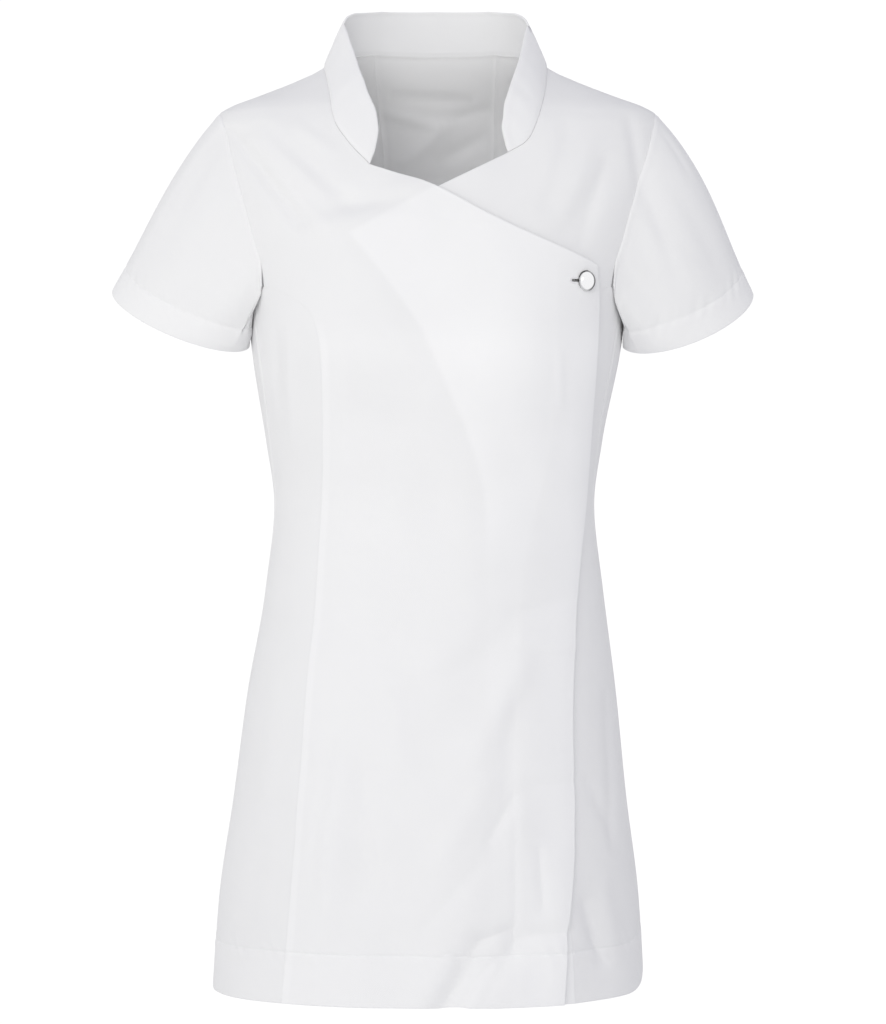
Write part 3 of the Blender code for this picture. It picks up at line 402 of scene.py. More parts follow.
def evenly_along(points, shares, stretch=1.0):
    """Points at shares of the length of a smooth curve, its first axis stretched."""
    def length(path):
        """Length travelled up to each point."""
        return running(np.hypot(stretch * np.diff(path[:, 0]), np.diff(path[:, 1])))

    along = length(points)
    fine = np.linspace(0.0, along[-1], 40 * len(points))
    path = np.stack([smooth_through(along, points[:, k], fine) for k in (0, 1)], axis=-1)
    far = length(path)
    return np.stack([np.interp(shares * far[-1], far, path[:, k]) for k in (0, 1)], axis=-1)


def on_curve(points, shares):
    """(angle, height) at shares of the length of a smooth curve through points."""
    flat = np.array(points, float)
    flat[:, 1] = side_length(flat[:, 1])[0]
    flat = evenly_along(flat, shares, MEAN_RADIUS)
    _, heights, lengths = side_length(0.0)
    flat[:, 1] = np.interp(flat[:, 1], lengths, heights)
    return flat


def on_seen_curve(points, shares, face):
    """As on_curve, but smooth and even as seen from the front (face 1) or behind (-1)."""
    points = np.array(points, float)
    seen = np.stack([seen_place(*points.T)[0], points[:, 1]], axis=-1)
    x, height = evenly_along(seen, shares).T
    placed = np.stack([angle_at(x, height, face), height], axis=-1)
    placed[shares == 0], placed[shares == 1] = points[0], points[-1]
    return placed


def on_edge(runs, at):
    """Points of an edge of (points, units, face) runs, at places counted in units."""
    out = np.zeros((len(at), 2))
    start = 0
    for points, units, face in runs:
        inside = (at >= start) & (at <= start + units)
        shares = (at[inside] - start) / units
        out[inside] = (on_seen_curve(points, shares, face) if face
                       else on_curve(points, shares))
        start += units
    return out


def turned(runs):
    """The same edge the other way."""
    return [(list(points)[::-1], units, face) for points, units, face in runs[::-1]]


def front_points(rows, side=1):
    """Table rows on the front, mirrored to the side wanted, as (angle, height)."""
    return [(float(angle_at(side * x, z)), z) for x, z in rows]


def side_points(rows, side):
    """Rows of (degrees, height) on one side."""
    return [(side * math.radians(degrees), z) for degrees, z in rows]


def back_points(rows, side):
    """Rows on the back; angles are counted round the wearer's own side."""
    return [(float(angle_at(side * x, z, -1)), z) for x, z in rows]


def seams(side):
    """All seams of one side, each a list of (points, units, face) runs."""
    neck_end = NECK_END_LEFT if side > 0 else NECK_END_RIGHT
    armhole_start = front_points(ARMHOLE_FRONT[:1], side)
    hem = [(side * math.radians(SIDE_SEAM[0][0]), HEM_RISE[side])]
    underarm = side_points((UNDERARM,), side)
    under = side_points(ARMHOLE_UNDER, side)
    tip = side_points((SHOULDER_TIP,), side)
    neck_point = side_points((SHOULDER_NECK,), side)
    low = back_points(BACK_PRINCESS_UNDERARM, side)
    top = back_points((BACK_PRINCESS_NECK,), side)
    return {
        "princess": [(front_points(FRONT_PRINCESS, side) + armhole_start, TO_UNDERARM, 1)],
        "side": [(hem + side_points(SIDE_SEAM[1:], side) + underarm, TO_UNDERARM, 0)],
        "armhole_front": [(front_points(ARMHOLE_FRONT, side) + tip, 9, 0)],
        "armhole_low": [(underarm + armhole_start, 5, 0)],
        "armhole_back": [(underarm + under, 3, 0),
                         (under[-1:] + side_points(ARMHOLE_BACK, side) + tip, 9, 0)],
        "neck_front": [(neck_point + front_points(NECK_FRONT[side] + (neck_end,), side), 3, 1)],
        "neck_side": [(neck_point + side_points((NECK_SIDE,), side) + top, 3, 0)],
        "back_princess": [(back_points(BACK_PRINCESS, side) + low[:1], TO_UNDERARM, -1),
                          (low, 3, -1),
                          (low[1:] + back_points(BACK_PRINCESS_UPPER, side) + top, 6, -1)],
        "shoulder": side_points((SHOULDER_TIP, SHOULDER_MIDDLE, SHOULDER_NECK), side),
    }


def spread(points, middle):
    """(angle, height) to a front view unrolled sideways from a middle angle."""
    angle, height = points[..., 0], points[..., 1]
    return np.stack([(angle - middle) * section("half_width", height), height], axis=-1)


def gather(points, middle):
    """The unrolled view back to (angle, height)."""
    height = points[..., 1]
    return np.stack([middle + points[..., 0] / section("half_width", height), height], axis=-1)


def unwrapped(points, side):
    """Angles past 180 degrees instead of a jump, for pieces on the back."""
    points = points.copy()
    points[:, 0] += np.where(side * points[:, 0] < 0, side * math.tau, 0.0)
    return points


def lines(units, per_unit, length, marks=()):
    """Grid lines from 0 to units: even ones, and closer ones beside both ends and marks."""
    metre = units / length
    places = [np.linspace(0, units, int(units * per_unit) + 1)]
    for at in (0.0, length) + tuple(marks):
        near = np.array(BESIDE_EDGE) * metre
        places += [at * metre + near, at * metre - near, [at * metre]]
    places = np.unique(np.round(np.concatenate(places), 5))
    places = places[(places >= 0) & (places <= units)]
    gap = np.diff(places)
    keep = np.concatenate([[True], gap > 0.0002 * metre])
    places = places[keep]
    places[-1] = units
    return places


def patch(left, right, bottom, top, rows, columns, middle=0.0):
    """Coons patch between four edges given at the rows' and columns' places."""
    left, right, bottom, top = (spread(edge, middle) for edge in (left, right, bottom, top))
    s = (columns / columns[-1])[None, :, None]
    t = (rows / rows[-1])[:, None, None]
    ruled = (1 - t) * bottom[None] + t * top[None] + (1 - s) * left[:, None] + s * right[:, None]
    corners = ((1 - t) * ((1 - s) * bottom[0] + s * bottom[-1])
               + t * ((1 - s) * top[0] + s * top[-1]))
    return gather(ruled - corners, middle)


def between(left, right, bottom, top, rows, columns, middle=0.0):
    """Grid of (angle, height) between four edges given as runs."""
    return patch(on_edge(left, rows), on_edge(right, rows), on_edge(bottom, columns),
                 on_edge(top, columns), rows, columns, middle)


def straight(first, second, at, units):
    """Edge straight from a place on one edge to the same place on another."""
    return [([on_edge(first, at)[0], on_edge(second, at)[0]], units, 0)]


def side_hem(outer, inner, units):
    """Hem of a side piece: nearly level from its inner seam, then curving up to its outer one."""
    start, end = (on_edge(edge, np.zeros(1))[0] for edge in (outer, inner))
    return [([start, ((start[0] + end[0]) / 2, start[1] * 0.12), end], units, 0)]


def travelled(points, axis):
    """Length travelled along the grid's lines, from 0."""
    return running(np.linalg.norm(np.diff(points, axis=axis), axis=-1), axis)


def from_edges(points):
    """Distance of every grid point from the left, right, bottom and top edge.

    The length travelled along the grid line to that edge, times the sine of the angle at
    which the line meets the edge."""
    from_left, from_low = travelled(points, 1), travelled(points, 0)

    def slant(edge, beside):
        """Sine of the angle between the edge and the grid lines that meet it."""
        run = np.gradient(edge, axis=0)
        way = beside - edge
        sine = np.linalg.norm(np.cross(run, way), axis=-1)
        sine /= np.linalg.norm(run, axis=-1) * np.linalg.norm(way, axis=-1)
        return np.maximum(sine, 0.35)

    left = from_left * slant(points[:, 0], points[:, 2])[:, None]
    right = (from_left[:, -1:] - from_left) * slant(points[:, -1], points[:, -3])[:, None]
    low = from_low * slant(points[0], points[2])[None]
    high = (from_low[-1:] - from_low) * slant(points[-1], points[-3])[None]
    return left, right, low, high


def grid_normals(points, closed=False):
    """Unit normals of a grid from its neighbours' differences."""
    if closed:
        around = np.roll(points, -1, axis=1) - np.roll(points, 1, axis=1)
    else:
        around = np.gradient(points, axis=1)
    out = np.cross(around, np.gradient(points, axis=0))
    return out / np.maximum(np.linalg.norm(out, axis=-1, keepdims=True), 1e-12)


def seam_dip(distance):
    """Cloth rolls down into a seam, and its turned-in allowance lifts it just beside."""
    return -0.00026 * bell(distance, 0.0008) + 0.00042 * bell(distance - 0.0034, 0.0028)


def rounding(distance, radius):
    """Share of the full thickness beside a folded edge: a quarter circle."""
    return np.sqrt(np.clip(1 - (1 - np.clip(distance / radius, 0, 1)) ** 2, 0.0016, 1))


def hem_relief(distance, depth, along):
    """Stitched line at the turned hem's depth, dimpled and puckered, over a fuller band."""
    line = bell(distance - depth, 0.0011) * (0.75 + 0.25 * np.cos(math.tau * along / 0.0050))
    band = ease(0.0, 0.006, distance) * ease(-depth, -depth + 0.005, -distance)
    slant = along + 0.6 * (distance - depth)
    pucker = sum(size * np.sin(math.tau * slant / length + phase)
                 for length, phase, size in PUCKER_WAVES)
    pucker = pucker * bell(distance - depth, 0.0090)
    return 0.00030 * band - 0.00060 * line + 0.00022 * pucker


def second_layer(distance, depth):
    """1 where a hem of a depth is turned up behind the cloth."""
    return 1 - ease(depth - 0.0004, depth + 0.0004, distance)


def grid_faces(rows, columns, closed):
    """Quads between the points of a grid, numbered row by row."""
    spans = columns if closed else columns - 1
    row, k = np.meshgrid(np.arange(rows - 1), np.arange(spans), indexing="ij")
    row, k = row.ravel() * columns, k.ravel()
    n = (k + 1) % columns
    return np.stack([row + k, row + n, row + columns + n, row + columns + k], 1)


def shell(name, points, normals, lifts, uv, layers, material, closed=False):
    """Closed mesh of an outer and an inner skin, each the grid's points moved along their
    normals by its lift, with rims between; UV in metres, layers as attribute."""
    rows, columns = points.shape[:2]
    count = rows * columns
    skins = [(points + normals * lift[..., None]).reshape(-1, 3) for lift in lifts]
    vertices = np.concatenate(skins) - [0, 0, MOUNT_HEIGHT]
    skin = grid_faces(rows, columns, closed)
    faces = [skin, skin[:, ::-1] + count]
    k = np.arange(columns if closed else columns - 1)
    m = (k + 1) % columns
    rims = [np.stack([k, m], 1), np.stack([m, k], 1) + (rows - 1) * columns]
    if not closed:
        k = np.arange(rows - 1) * columns
        rims += [np.stack([k + columns, k], 1), np.stack([k, k + columns], 1) + columns - 1]
    faces += [np.stack([rim[:, 1], rim[:, 0], rim[:, 0] + count, rim[:, 1] + count], 1)
              for rim in rims]
    quads = np.concatenate(faces).astype(np.int32)
    mesh = bpy.data.meshes.new(name)
    mesh.vertices.add(len(vertices))
    mesh.vertices.foreach_set("co", vertices.ravel())
    mesh.loops.add(quads.size)
    mesh.loops.foreach_set("vertex_index", quads.ravel())
    mesh.polygons.add(len(quads))
    mesh.polygons.foreach_set("loop_start", np.arange(len(quads), dtype=np.int32) * 4)
    mesh.update(calc_edges=True)
    both = np.concatenate([uv.reshape(-1, 2), uv.reshape(-1, 2)])
    mesh.uv_layers.new(name="cloth")
    mesh.uv_layers["cloth"].data.foreach_set("uv", both[quads.ravel()].ravel())
    set_attribute(mesh, "layers", np.concatenate([layers.ravel(), layers.ravel()]))
    mesh.shade_smooth()
    return finish_piece(name, mesh, material)


def set_attribute(mesh, name, values):
    """Gives every vertex a number under a name, for a material to read."""
    attribute = mesh.attributes.new(name, "FLOAT", "POINT")
    attribute.data.foreach_set("value", values)


def finish_piece(name, mesh, material):
    """Object for a mesh, with its material, in the scene."""
    mesh.materials.append(material)
    piece = bpy.data.objects.new(name, mesh)
    bpy.context.scene.collection.objects.link(piece)
    return piece


def cloth_piece(name, grid, edges, lift=0.0, hem=True, layers=1.0, step=0.0, thick=0.0):
    """Cut piece on the body.

    edges gives the kind of its left, right, bottom and top edge: seam, proud, fold or flat.
    lift is how far it lies over the body, step a relief on top of that, thick what is added
    behind it, and layers how many layers of cloth its tone shows."""
    angle, height = grid[..., 0], grid[..., 1]
    normals = normal_of(cloth, angle, height)
    base = cloth(angle, height) + normals * (np.zeros_like(angle) + lift)[..., None]
    edges = dict(zip(("left", "right", "bottom", "top"), edges))
    far = dict(zip(edges, from_edges(base)))
    raised = np.zeros_like(angle) + step
    full_out, full_in = np.full_like(angle, SKIN_OUT), np.full_like(angle, SKIN_IN) + thick
    layers = np.zeros_like(angle) + layers
    if hem:
        raised = raised + hem_relief(far["bottom"], HEM_DEPTH, travelled(base, 1))
        turned_up = second_layer(far["bottom"], HEM_DEPTH)
        full_in = full_in + TURNED_UP * turned_up
        layers = layers + 0.35 * turned_up
    for side, kind in edges.items():
        if kind == "seam":
            raised = raised + seam_dip(far[side])
            layers = layers + SEAM_LAYERS * bell(far[side], SEAM_TONE_WIDTH)
        if kind == "proud":
            low = 1 - ease(*PRINCESS_RIDGE_TOP, height)
            raised = raised + PRINCESS_RIDGE * low * bell(far[side], 0.0040)
            # tone along a proud seam: partly the pressed allowance behind, partly a painted
            # highlight on its ridge; half a layer lighter away from it; fading out over
            # PRINCESS_RIDGE_TOP
            layers = layers + low * (0.95 - 0.45 * ease(0.0065, 0.0085, far[side]))
    for side, kind in edges.items():
        if kind == "fold":
            full_in = full_in + 0.0004 * bell(far[side], 0.006)
            round_off = rounding(far[side], FOLD_RADIUS)
            full_out, full_in = full_out * round_off, full_in * (0.5 + 0.5 * round_off)
    middle = spread(grid, angle.mean())
    uv = np.stack([middle[..., 0], side_length(height)[0]], axis=-1)
    return shell(name, base, normals, (raised + full_out, raised - full_in), uv, layers,
                 WHITE_CLOTH)


# ---- cloth and metal ------------------------------------------------------------------
def group(name, inputs, outputs):
    """Empty shader node group with named sockets; (name, socket type, value) each."""
    tree = bpy.data.node_groups.new(name, "ShaderNodeTree")
    for label, kind, value in inputs:
        socket = tree.interface.new_socket(label, in_out="INPUT", socket_type=kind)
        if value is not None:
            socket.default_value = value
    for label, kind in outputs:
        tree.interface.new_socket(label, in_out="OUTPUT", socket_type=kind)
    return tree, tree.nodes.new("NodeGroupInput"), tree.nodes.new("NodeGroupOutput")


def feed(tree, node, inputs):
    """Links each input of a node to a socket, or gives it its value; returns the node."""
    for slot, value in inputs.items():
        if isinstance(value, bpy.types.NodeSocket):
            tree.links.new(value, node.inputs[slot])
        else:
            node.inputs[slot].default_value = value
    return node


def new_node(tree, kind, inputs):
    """New shader node with its inputs fed."""
    return feed(tree, tree.nodes.new("ShaderNode" + kind), inputs)


def math_node(tree, operation, first, second):
    """Math node of two sockets or numbers."""
    node = tree.nodes.new("ShaderNodeMath")
    node.operation = operation
    return feed(tree, node, {0: first, 1: second}).outputs[0]


def vertex_value(tree, name):
    """A number that the mesh's vertices carry."""
    node = tree.nodes.new("ShaderNodeAttribute")
    node.attribute_name = name
    return node.outputs["Fac"]


def blend(tree, share, first, second):
    """From the first colour to the second by a share."""
    node = tree.nodes.new("ShaderNodeMix")
    node.data_type = "RGBA"
    return feed(tree, node, {"Factor": share, 6: first, 7: second}).outputs[2]


def ranged(tree, value, old, new, kind="LINEAR"):
    """A value's old range stretched onto a new one, evenly or in a smooth S."""
    node = tree.nodes.new("ShaderNodeMapRange")
    node.interpolation_type = kind
    names = ("From Min", "From Max", "To Min", "To Max")
    return feed(tree, node, {"Value": value, **dict(zip(names, old + new))}).outputs[0]


def speckle(tree, scale, detail=2.0):
    """Noise over the object's own coordinates."""
    place = tree.nodes.new("ShaderNodeTexCoord").outputs["Object"]
    noise = new_node(tree, "TexNoise", {"Vector": place, "Scale": scale, "Detail": detail})
    return noise.outputs[0]


def plain_weave():
    """Plain weave: the product of a sine across the warp and one across the weft, with slubs."""
    tree, given, out = group("plain_weave", (("Thread", "NodeSocketFloat", 0.0004),),
                             (("Height", "NodeSocketFloat"),))
    uv = tree.nodes.new("ShaderNodeUVMap")
    uv.uv_map = "cloth"
    axes = new_node(tree, "SeparateXYZ", {0: uv.outputs[0]})
    waves = []
    for axis in (0, 1):
        turn = math_node(tree, "MULTIPLY", axes.outputs[axis], math.pi)
        turn = math_node(tree, "DIVIDE", turn, given.outputs["Thread"])
        waves.append(math_node(tree, "SINE", turn, 0.0))
    woven = math_node(tree, "MULTIPLY", *waves)
    drawn_out = new_node(tree, "Mapping", {0: uv.outputs[0], "Scale": (160.0, 900.0, 1.0)})
    slubs = new_node(tree, "TexNoise", {"Vector": drawn_out.outputs[0], "Scale": 1.0,
                                        "Detail": 2.0})
    feed(tree, out, {"Height": math_node(tree, "ADD", woven, slubs.outputs[0])})
    return tree


def layered_tone():
    """Colour from how many layers of cloth lie there, one to three: thin cloth looks greyer."""
    tree, given, out = group(
        "layered_tone",
        (("One layer", "NodeSocketColor", None), ("More", "NodeSocketColor", None)),
        (("Color", "NodeSocketColor"), ("Roughness", "NodeSocketFloat")))
    share = ranged(tree, vertex_value(tree, "layers"), (1.0, 3.0), (0.0, 1.0))
    tone = blend(tree, share, given.outputs["One layer"], given.outputs["More"])
    cloudy = speckle(tree, 22.0, 3.0)
    shaded = tree.nodes.new("ShaderNodeVectorMath")
    shaded.operation = "SCALE"
    feed(tree, shaded, {0: tone, "Scale": ranged(tree, cloudy, (0.0, 1.0), (0.985, 1.015))})
    feed(tree, out, {"Color": shaded.outputs[0],
                     "Roughness": ranged(tree, cloudy, (0.0, 1.0), (0.74, 0.90))})
    return tree


WEAVE, TONE = plain_weave(), layered_tone()


def new_material(name):
    """Material with its tree and shader."""
    material = bpy.data.materials.new(name)
    material.use_nodes = True
    return material, material.node_tree, material.node_tree.nodes["Principled BSDF"]


def cloth_material(name, one, more):
    """White polyester and cotton: layered tone, plain weave bump and a little sheen."""
    material, tree, shader = new_material(name)
    tone, weave = tree.nodes.new("ShaderNodeGroup"), tree.nodes.new("ShaderNodeGroup")
    tone.node_tree, weave.node_tree = TONE, WEAVE
    feed(tree, tone, {"One layer": (*one, 1.0), "More": (*more, 1.0)})
    feed(tree, weave, {"Thread": 0.0004})
    bump = new_node(tree, "Bump", {"Strength": 0.5, "Distance": 0.00008,
                                   "Height": weave.outputs["Height"]})
    feed(tree, shader, {"Base Color": tone.outputs["Color"], "Normal": bump.outputs[0],
                        "Roughness": tone.outputs["Roughness"], "Sheen Weight": 0.10,
                        "Sheen Roughness": 0.5, "Specular IOR Level": 0.25})
    return material


def thread_material():
    """White thread, its roughness uneven with the twist."""
    material, tree, shader = new_material("white_thread")
    twist = ranged(tree, speckle(tree, 2500.0), (0.0, 1.0), (0.5, 0.8))
    feed(tree, shader, {"Base Color": (0.86, 0.86, 0.87, 1.0), "Roughness": twist})
    return material


def metal_material():
    """Polished metal, faintly scuffed, and nearly black where a dark reflection is painted near
    the rim.
    """
    material, tree, shader = new_material("polished_metal")
    # near black where the rim's dark reflection is painted in
    colour = blend(tree, vertex_value(tree, "painted_rim_reflection"), (0.90, 0.90, 0.91, 1.0),
                   (0.02, 0.02, 0.02, 1.0))
    scuffs = ranged(tree, speckle(tree, 900.0), (0.0, 1.0), (0.05, 0.14))
    feed(tree, shader, {"Base Color": colour, "Metallic": 1.0, "Roughness": scuffs})
    return material


WHITE_CLOTH = cloth_material("white_cloth", (0.85, 0.85, 0.853), (0.93, 0.93, 0.932))
COLLAR_WHITE = cloth_material("collar_cloth", (0.865, 0.865, 0.87), (0.865, 0.865, 0.87))
THREAD, METAL = thread_material(), metal_material()


# ---- body pieces ----------------------------------------------------------------------
def under_edge_at(height):
    """Underlap's edge, signed distance from the centre line."""
    edge = sorted((z, x) for x, z in UNDER_EDGE + (UNDER_CORNER,))
    return np.interp(height, [z for z, _ in edge], [x for _, x in edge])


def over_underlap(angle, height, soft_edge, soft_line):
    """1 where the wrap lies over the underlap, easing off beside its edge and neckline."""
    x, _ = seen_place(angle, height)
    line = sorted(UNDER_NECKLINE + (UNDER_CORNER,))
    line_z = np.interp(x, [x_ for x_, _ in line], [z for _, z in line])
    return (ease(*soft_edge, x - under_edge_at(height))
            * ease(*soft_line, line_z - height))


def over_facing(angle, height):
    """1 where the facing lies behind the wrap, easing off at its inner edge."""
    inner = smooth_through([z for _, z in FACING_INNER], [x for x, _ in FACING_INNER], height)
    return ease(-0.0018, 0.0018, seen_place(angle, height)[0] - inner)


def build_fronts(right, left):
    """Wrap, facing, underlap and the two side fronts."""
    corner = front_points((WRAP_CORNER,))
    neck_end = front_points((NECK_END_RIGHT,), -1)
    princess = right["princess"] + right["armhole_front"]
    edge = ([(front_points(WRAP_EDGE) + corner, TO_UNDERARM, 1),
             (corner + front_points(WRAP_NECKLINE[::-1]) + neck_end, 6, 1)]
            + turned(right["neck_front"]))
    rows = lines(TO_SHOULDER, LINES_UP, 0.90, (HEM_DEPTH,))
    columns = lines(14, LINES_ACROSS, 0.235)
    grid = between(princess, edge, straight(princess, edge, rows[:1], 14),
                   [(right["shoulder"], 14, 0)], rows, columns)
    angle, height = grid[..., 0], grid[..., 1]
    up, across = rows[:, None], columns[None]       # the wrap's corner is at row 22
    lift = WRAP_LIFT * over_underlap(angle, height, (-0.070, -0.006), (-0.034, -0.006))
    over = over_underlap(angle, height, (-0.0030, 0.0030), (-0.0030, 0.0030))
    faced = over_facing(angle, height) * (1 - ease(22.0, 22.3, up))
    layers = 1.0 + over * (0.20 + 0.80 * ease(0.36, 0.44, height)) - 0.25 * faced
    layers += 1.2 * ease(10.5, 13.2, across) * (1 - ease(18.0, 21.8, up))
    low_down = 1.0 - 0.5 * ease(0.30, 0.40, height)
    beside_edge = (1 - ease(22.0, 22.6, up)) * ease(12.6, 14.0, across)
    wrap = cloth_piece("wrap_front", grid, ("proud", "fold", "fold", "seam"),
                       lift=lift - 0.0005 * beside_edge ** 3, layers=layers,
                       step=0.00030 * over + 0.00040 * faced * low_down)
    rows, columns = lines(TO_UNDERARM, LINES_UP, 0.64), lines(3, 3 * LINES_ACROSS, 0.050)
    inner = [(front_points(FACING_INNER), TO_UNDERARM, 1)]
    grid = between(inner, edge[:1], straight(inner, edge[:1], rows[:1], 3),
                   straight(inner, edge[:1], rows[-1:], 3), rows, columns)
    beside_edge = ease(1.6, 3.0, columns)[None] ** 3
    facing = cloth_piece("front_facing", grid, ("fold", "fold", "fold", "fold"),
                         lift=FACING_LIFT + 0.0004 * beside_edge, hem=False, layers=2.0,
                         thick=FACING_EDGE_THICK * beside_edge ** 2)

    corner = front_points((UNDER_CORNER,))
    neck_end = front_points((NECK_END_LEFT,))
    princess = left["princess"] + left["armhole_front"]
    edge = ([(front_points(UNDER_EDGE) + corner, 24, 1),
             (corner + front_points(UNDER_NECKLINE[::-1]) + neck_end, 4, 1)]
            + turned(left["neck_front"]))
    rows = lines(TO_SHOULDER, LINES_UP, 0.90, (HEM_DEPTH,))
    columns = lines(10, LINES_ACROSS, 0.150)
    grid = between(edge, princess, straight(edge, princess, rows[:1], 10),
                   [(left["shoulder"][::-1], 10, 0)], rows, columns)
    under = cloth_piece("underlap_front", grid, ("fold", "proud", "fold", "seam"))
    made = {"front_right_wrap": wrap, "wrap_facing": facing, "front_left_under": under}
    for node, name, seam, side in (("front_right_side", "side_front_right", right, -1),
                                   ("front_left_side", "side_front_left", left, 1)):
        rows = lines(TO_UNDERARM, LINES_UP, 0.61, (HEM_DEPTH,))
        columns = lines(5, 2 * LINES_ACROSS, 0.10)
        hem = side_hem(seam["side"], seam["princess"], 5)
        grid = between(seam["side"], seam["princess"], hem, seam["armhole_low"], rows, columns)
        grid = grid[:, ::-1] if side > 0 else grid
        sides = ("seam", "flat") if side < 0 else ("flat", "seam")
        made[node] = cloth_piece(name, grid, sides + ("fold", "seam"))
    return made


def build_back(right, left):
    """Centre back and the two side backs."""
    made = {}
    rows = lines(TO_SHOULDER + 3, LINES_UP, 0.86, (HEM_DEPTH,))
    for node, name, seam, side in (("back_right_side", "side_back_right", right, -1),
                                   ("back_left_side", "side_back_left", left, 1)):
        outer = seam["side"] + seam["armhole_back"]
        inner = seam["back_princess"] + turned(seam["neck_side"])
        columns = lines(7, 2 * LINES_ACROSS, 0.14)
        grid = between(outer, inner, side_hem(outer, inner, 7), [(seam["shoulder"], 7, 0)],
                       rows, columns, side * math.pi)
        grid = grid[:, ::-1] if side < 0 else grid
        made[node] = cloth_piece(name, grid, ("seam", "seam", "fold", "seam"))
    rows = lines(TO_SHOULDER, LINES_UP, 0.83, (HEM_DEPTH,))
    columns = lines(6, 2 * LINES_ACROSS, 0.12)
    start = on_edge(left["back_princess"], rows)
    end = unwrapped(on_edge(right["back_princess"], rows), 1)
    top, hem = [([start[-1], end[-1]], 6, 0)], [([start[0], end[0]], 6, 0)]
    grid = patch(start, end, on_edge(hem, columns), on_edge(top, columns), rows, columns, math.pi)
    made["back_centre"] = cloth_piece("centre_back", grid, ("seam", "seam", "fold", "seam"))
    return made


# ---- sleeves --------------------------------------------------------------------------
# soft folds on the sleeves: side, turn in degrees from the top towards the front at the
# armhole and at the cuff, share of the length from and to, width in metres, depth
SLEEVE_FOLDS = (
    (-1, 30, 50, 0.00, 0.75, 0.010, -0.0014),
    (-1, 62, 66, 0.05, 0.95, 0.012, 0.0016),
    (-1, 88, 84, 0.10, 0.80, 0.009, -0.0012),
    (-1, 118, 98, 0.05, 0.95, 0.009, 0.0014),
    (-1, 140, 122, 0.00, 0.92, 0.012, -0.0024),
    (-1, 162, 150, 0.20, 1.00, 0.008, 0.0014),
    (-1, 235, 225, 0.00, 0.90, 0.012, -0.0014),
    (-1, 290, 300, 0.00, 0.80, 0.013, 0.0012),
    (1, 20, 35, 0.00, 0.30, 0.005, -0.0012),
    (1, 48, 34, 0.10, 0.90, 0.010, -0.0016),
    (1, 66, 80, 0.00, 0.70, 0.008, -0.0014),
    (1, 84, 52, 0.15, 0.95, 0.011, 0.0014),
    (1, 118, 88, 0.00, 0.80, 0.009, -0.0022),
    (1, 128, 112, 0.30, 1.00, 0.009, 0.0016),
    (1, 150, 138, 0.00, 0.92, 0.011, -0.0022),
    (1, 240, 230, 0.00, 0.90, 0.012, -0.0015),
    (1, 300, 310, 0.00, 0.80, 0.013, 0.0012),
)


def clear_of_body(points):
    """Sleeve points under the armhole, pushed out sideways until they clear the body."""
    x, y, z = points[..., 0], points[..., 1], points[..., 2]
    dx = x - section("centre_x", z)
    dy = section("middle_y", z) - y
    across = dx / section("half_width", z)
    forward = dy / np.where(dy > 0, section("front", z), section("back", z))
    body = cloth(np.arctan2(across, forward), z)
    reach = np.hypot(body[..., 0] - section("centre_x", z), body[..., 1] - section("middle_y", z))
    wanted = (reach + SLEEVE_CLEAR) / np.hypot(dx, dy)
    push = 1 + np.maximum(wanted - 1, 0) * ease(-0.635, -0.612, -z)
    moved = points.copy()
    moved[..., 0] = section("centre_x", z) + dx * push
    moved[..., 1] = section("middle_y", z) - dy * push
    return moved


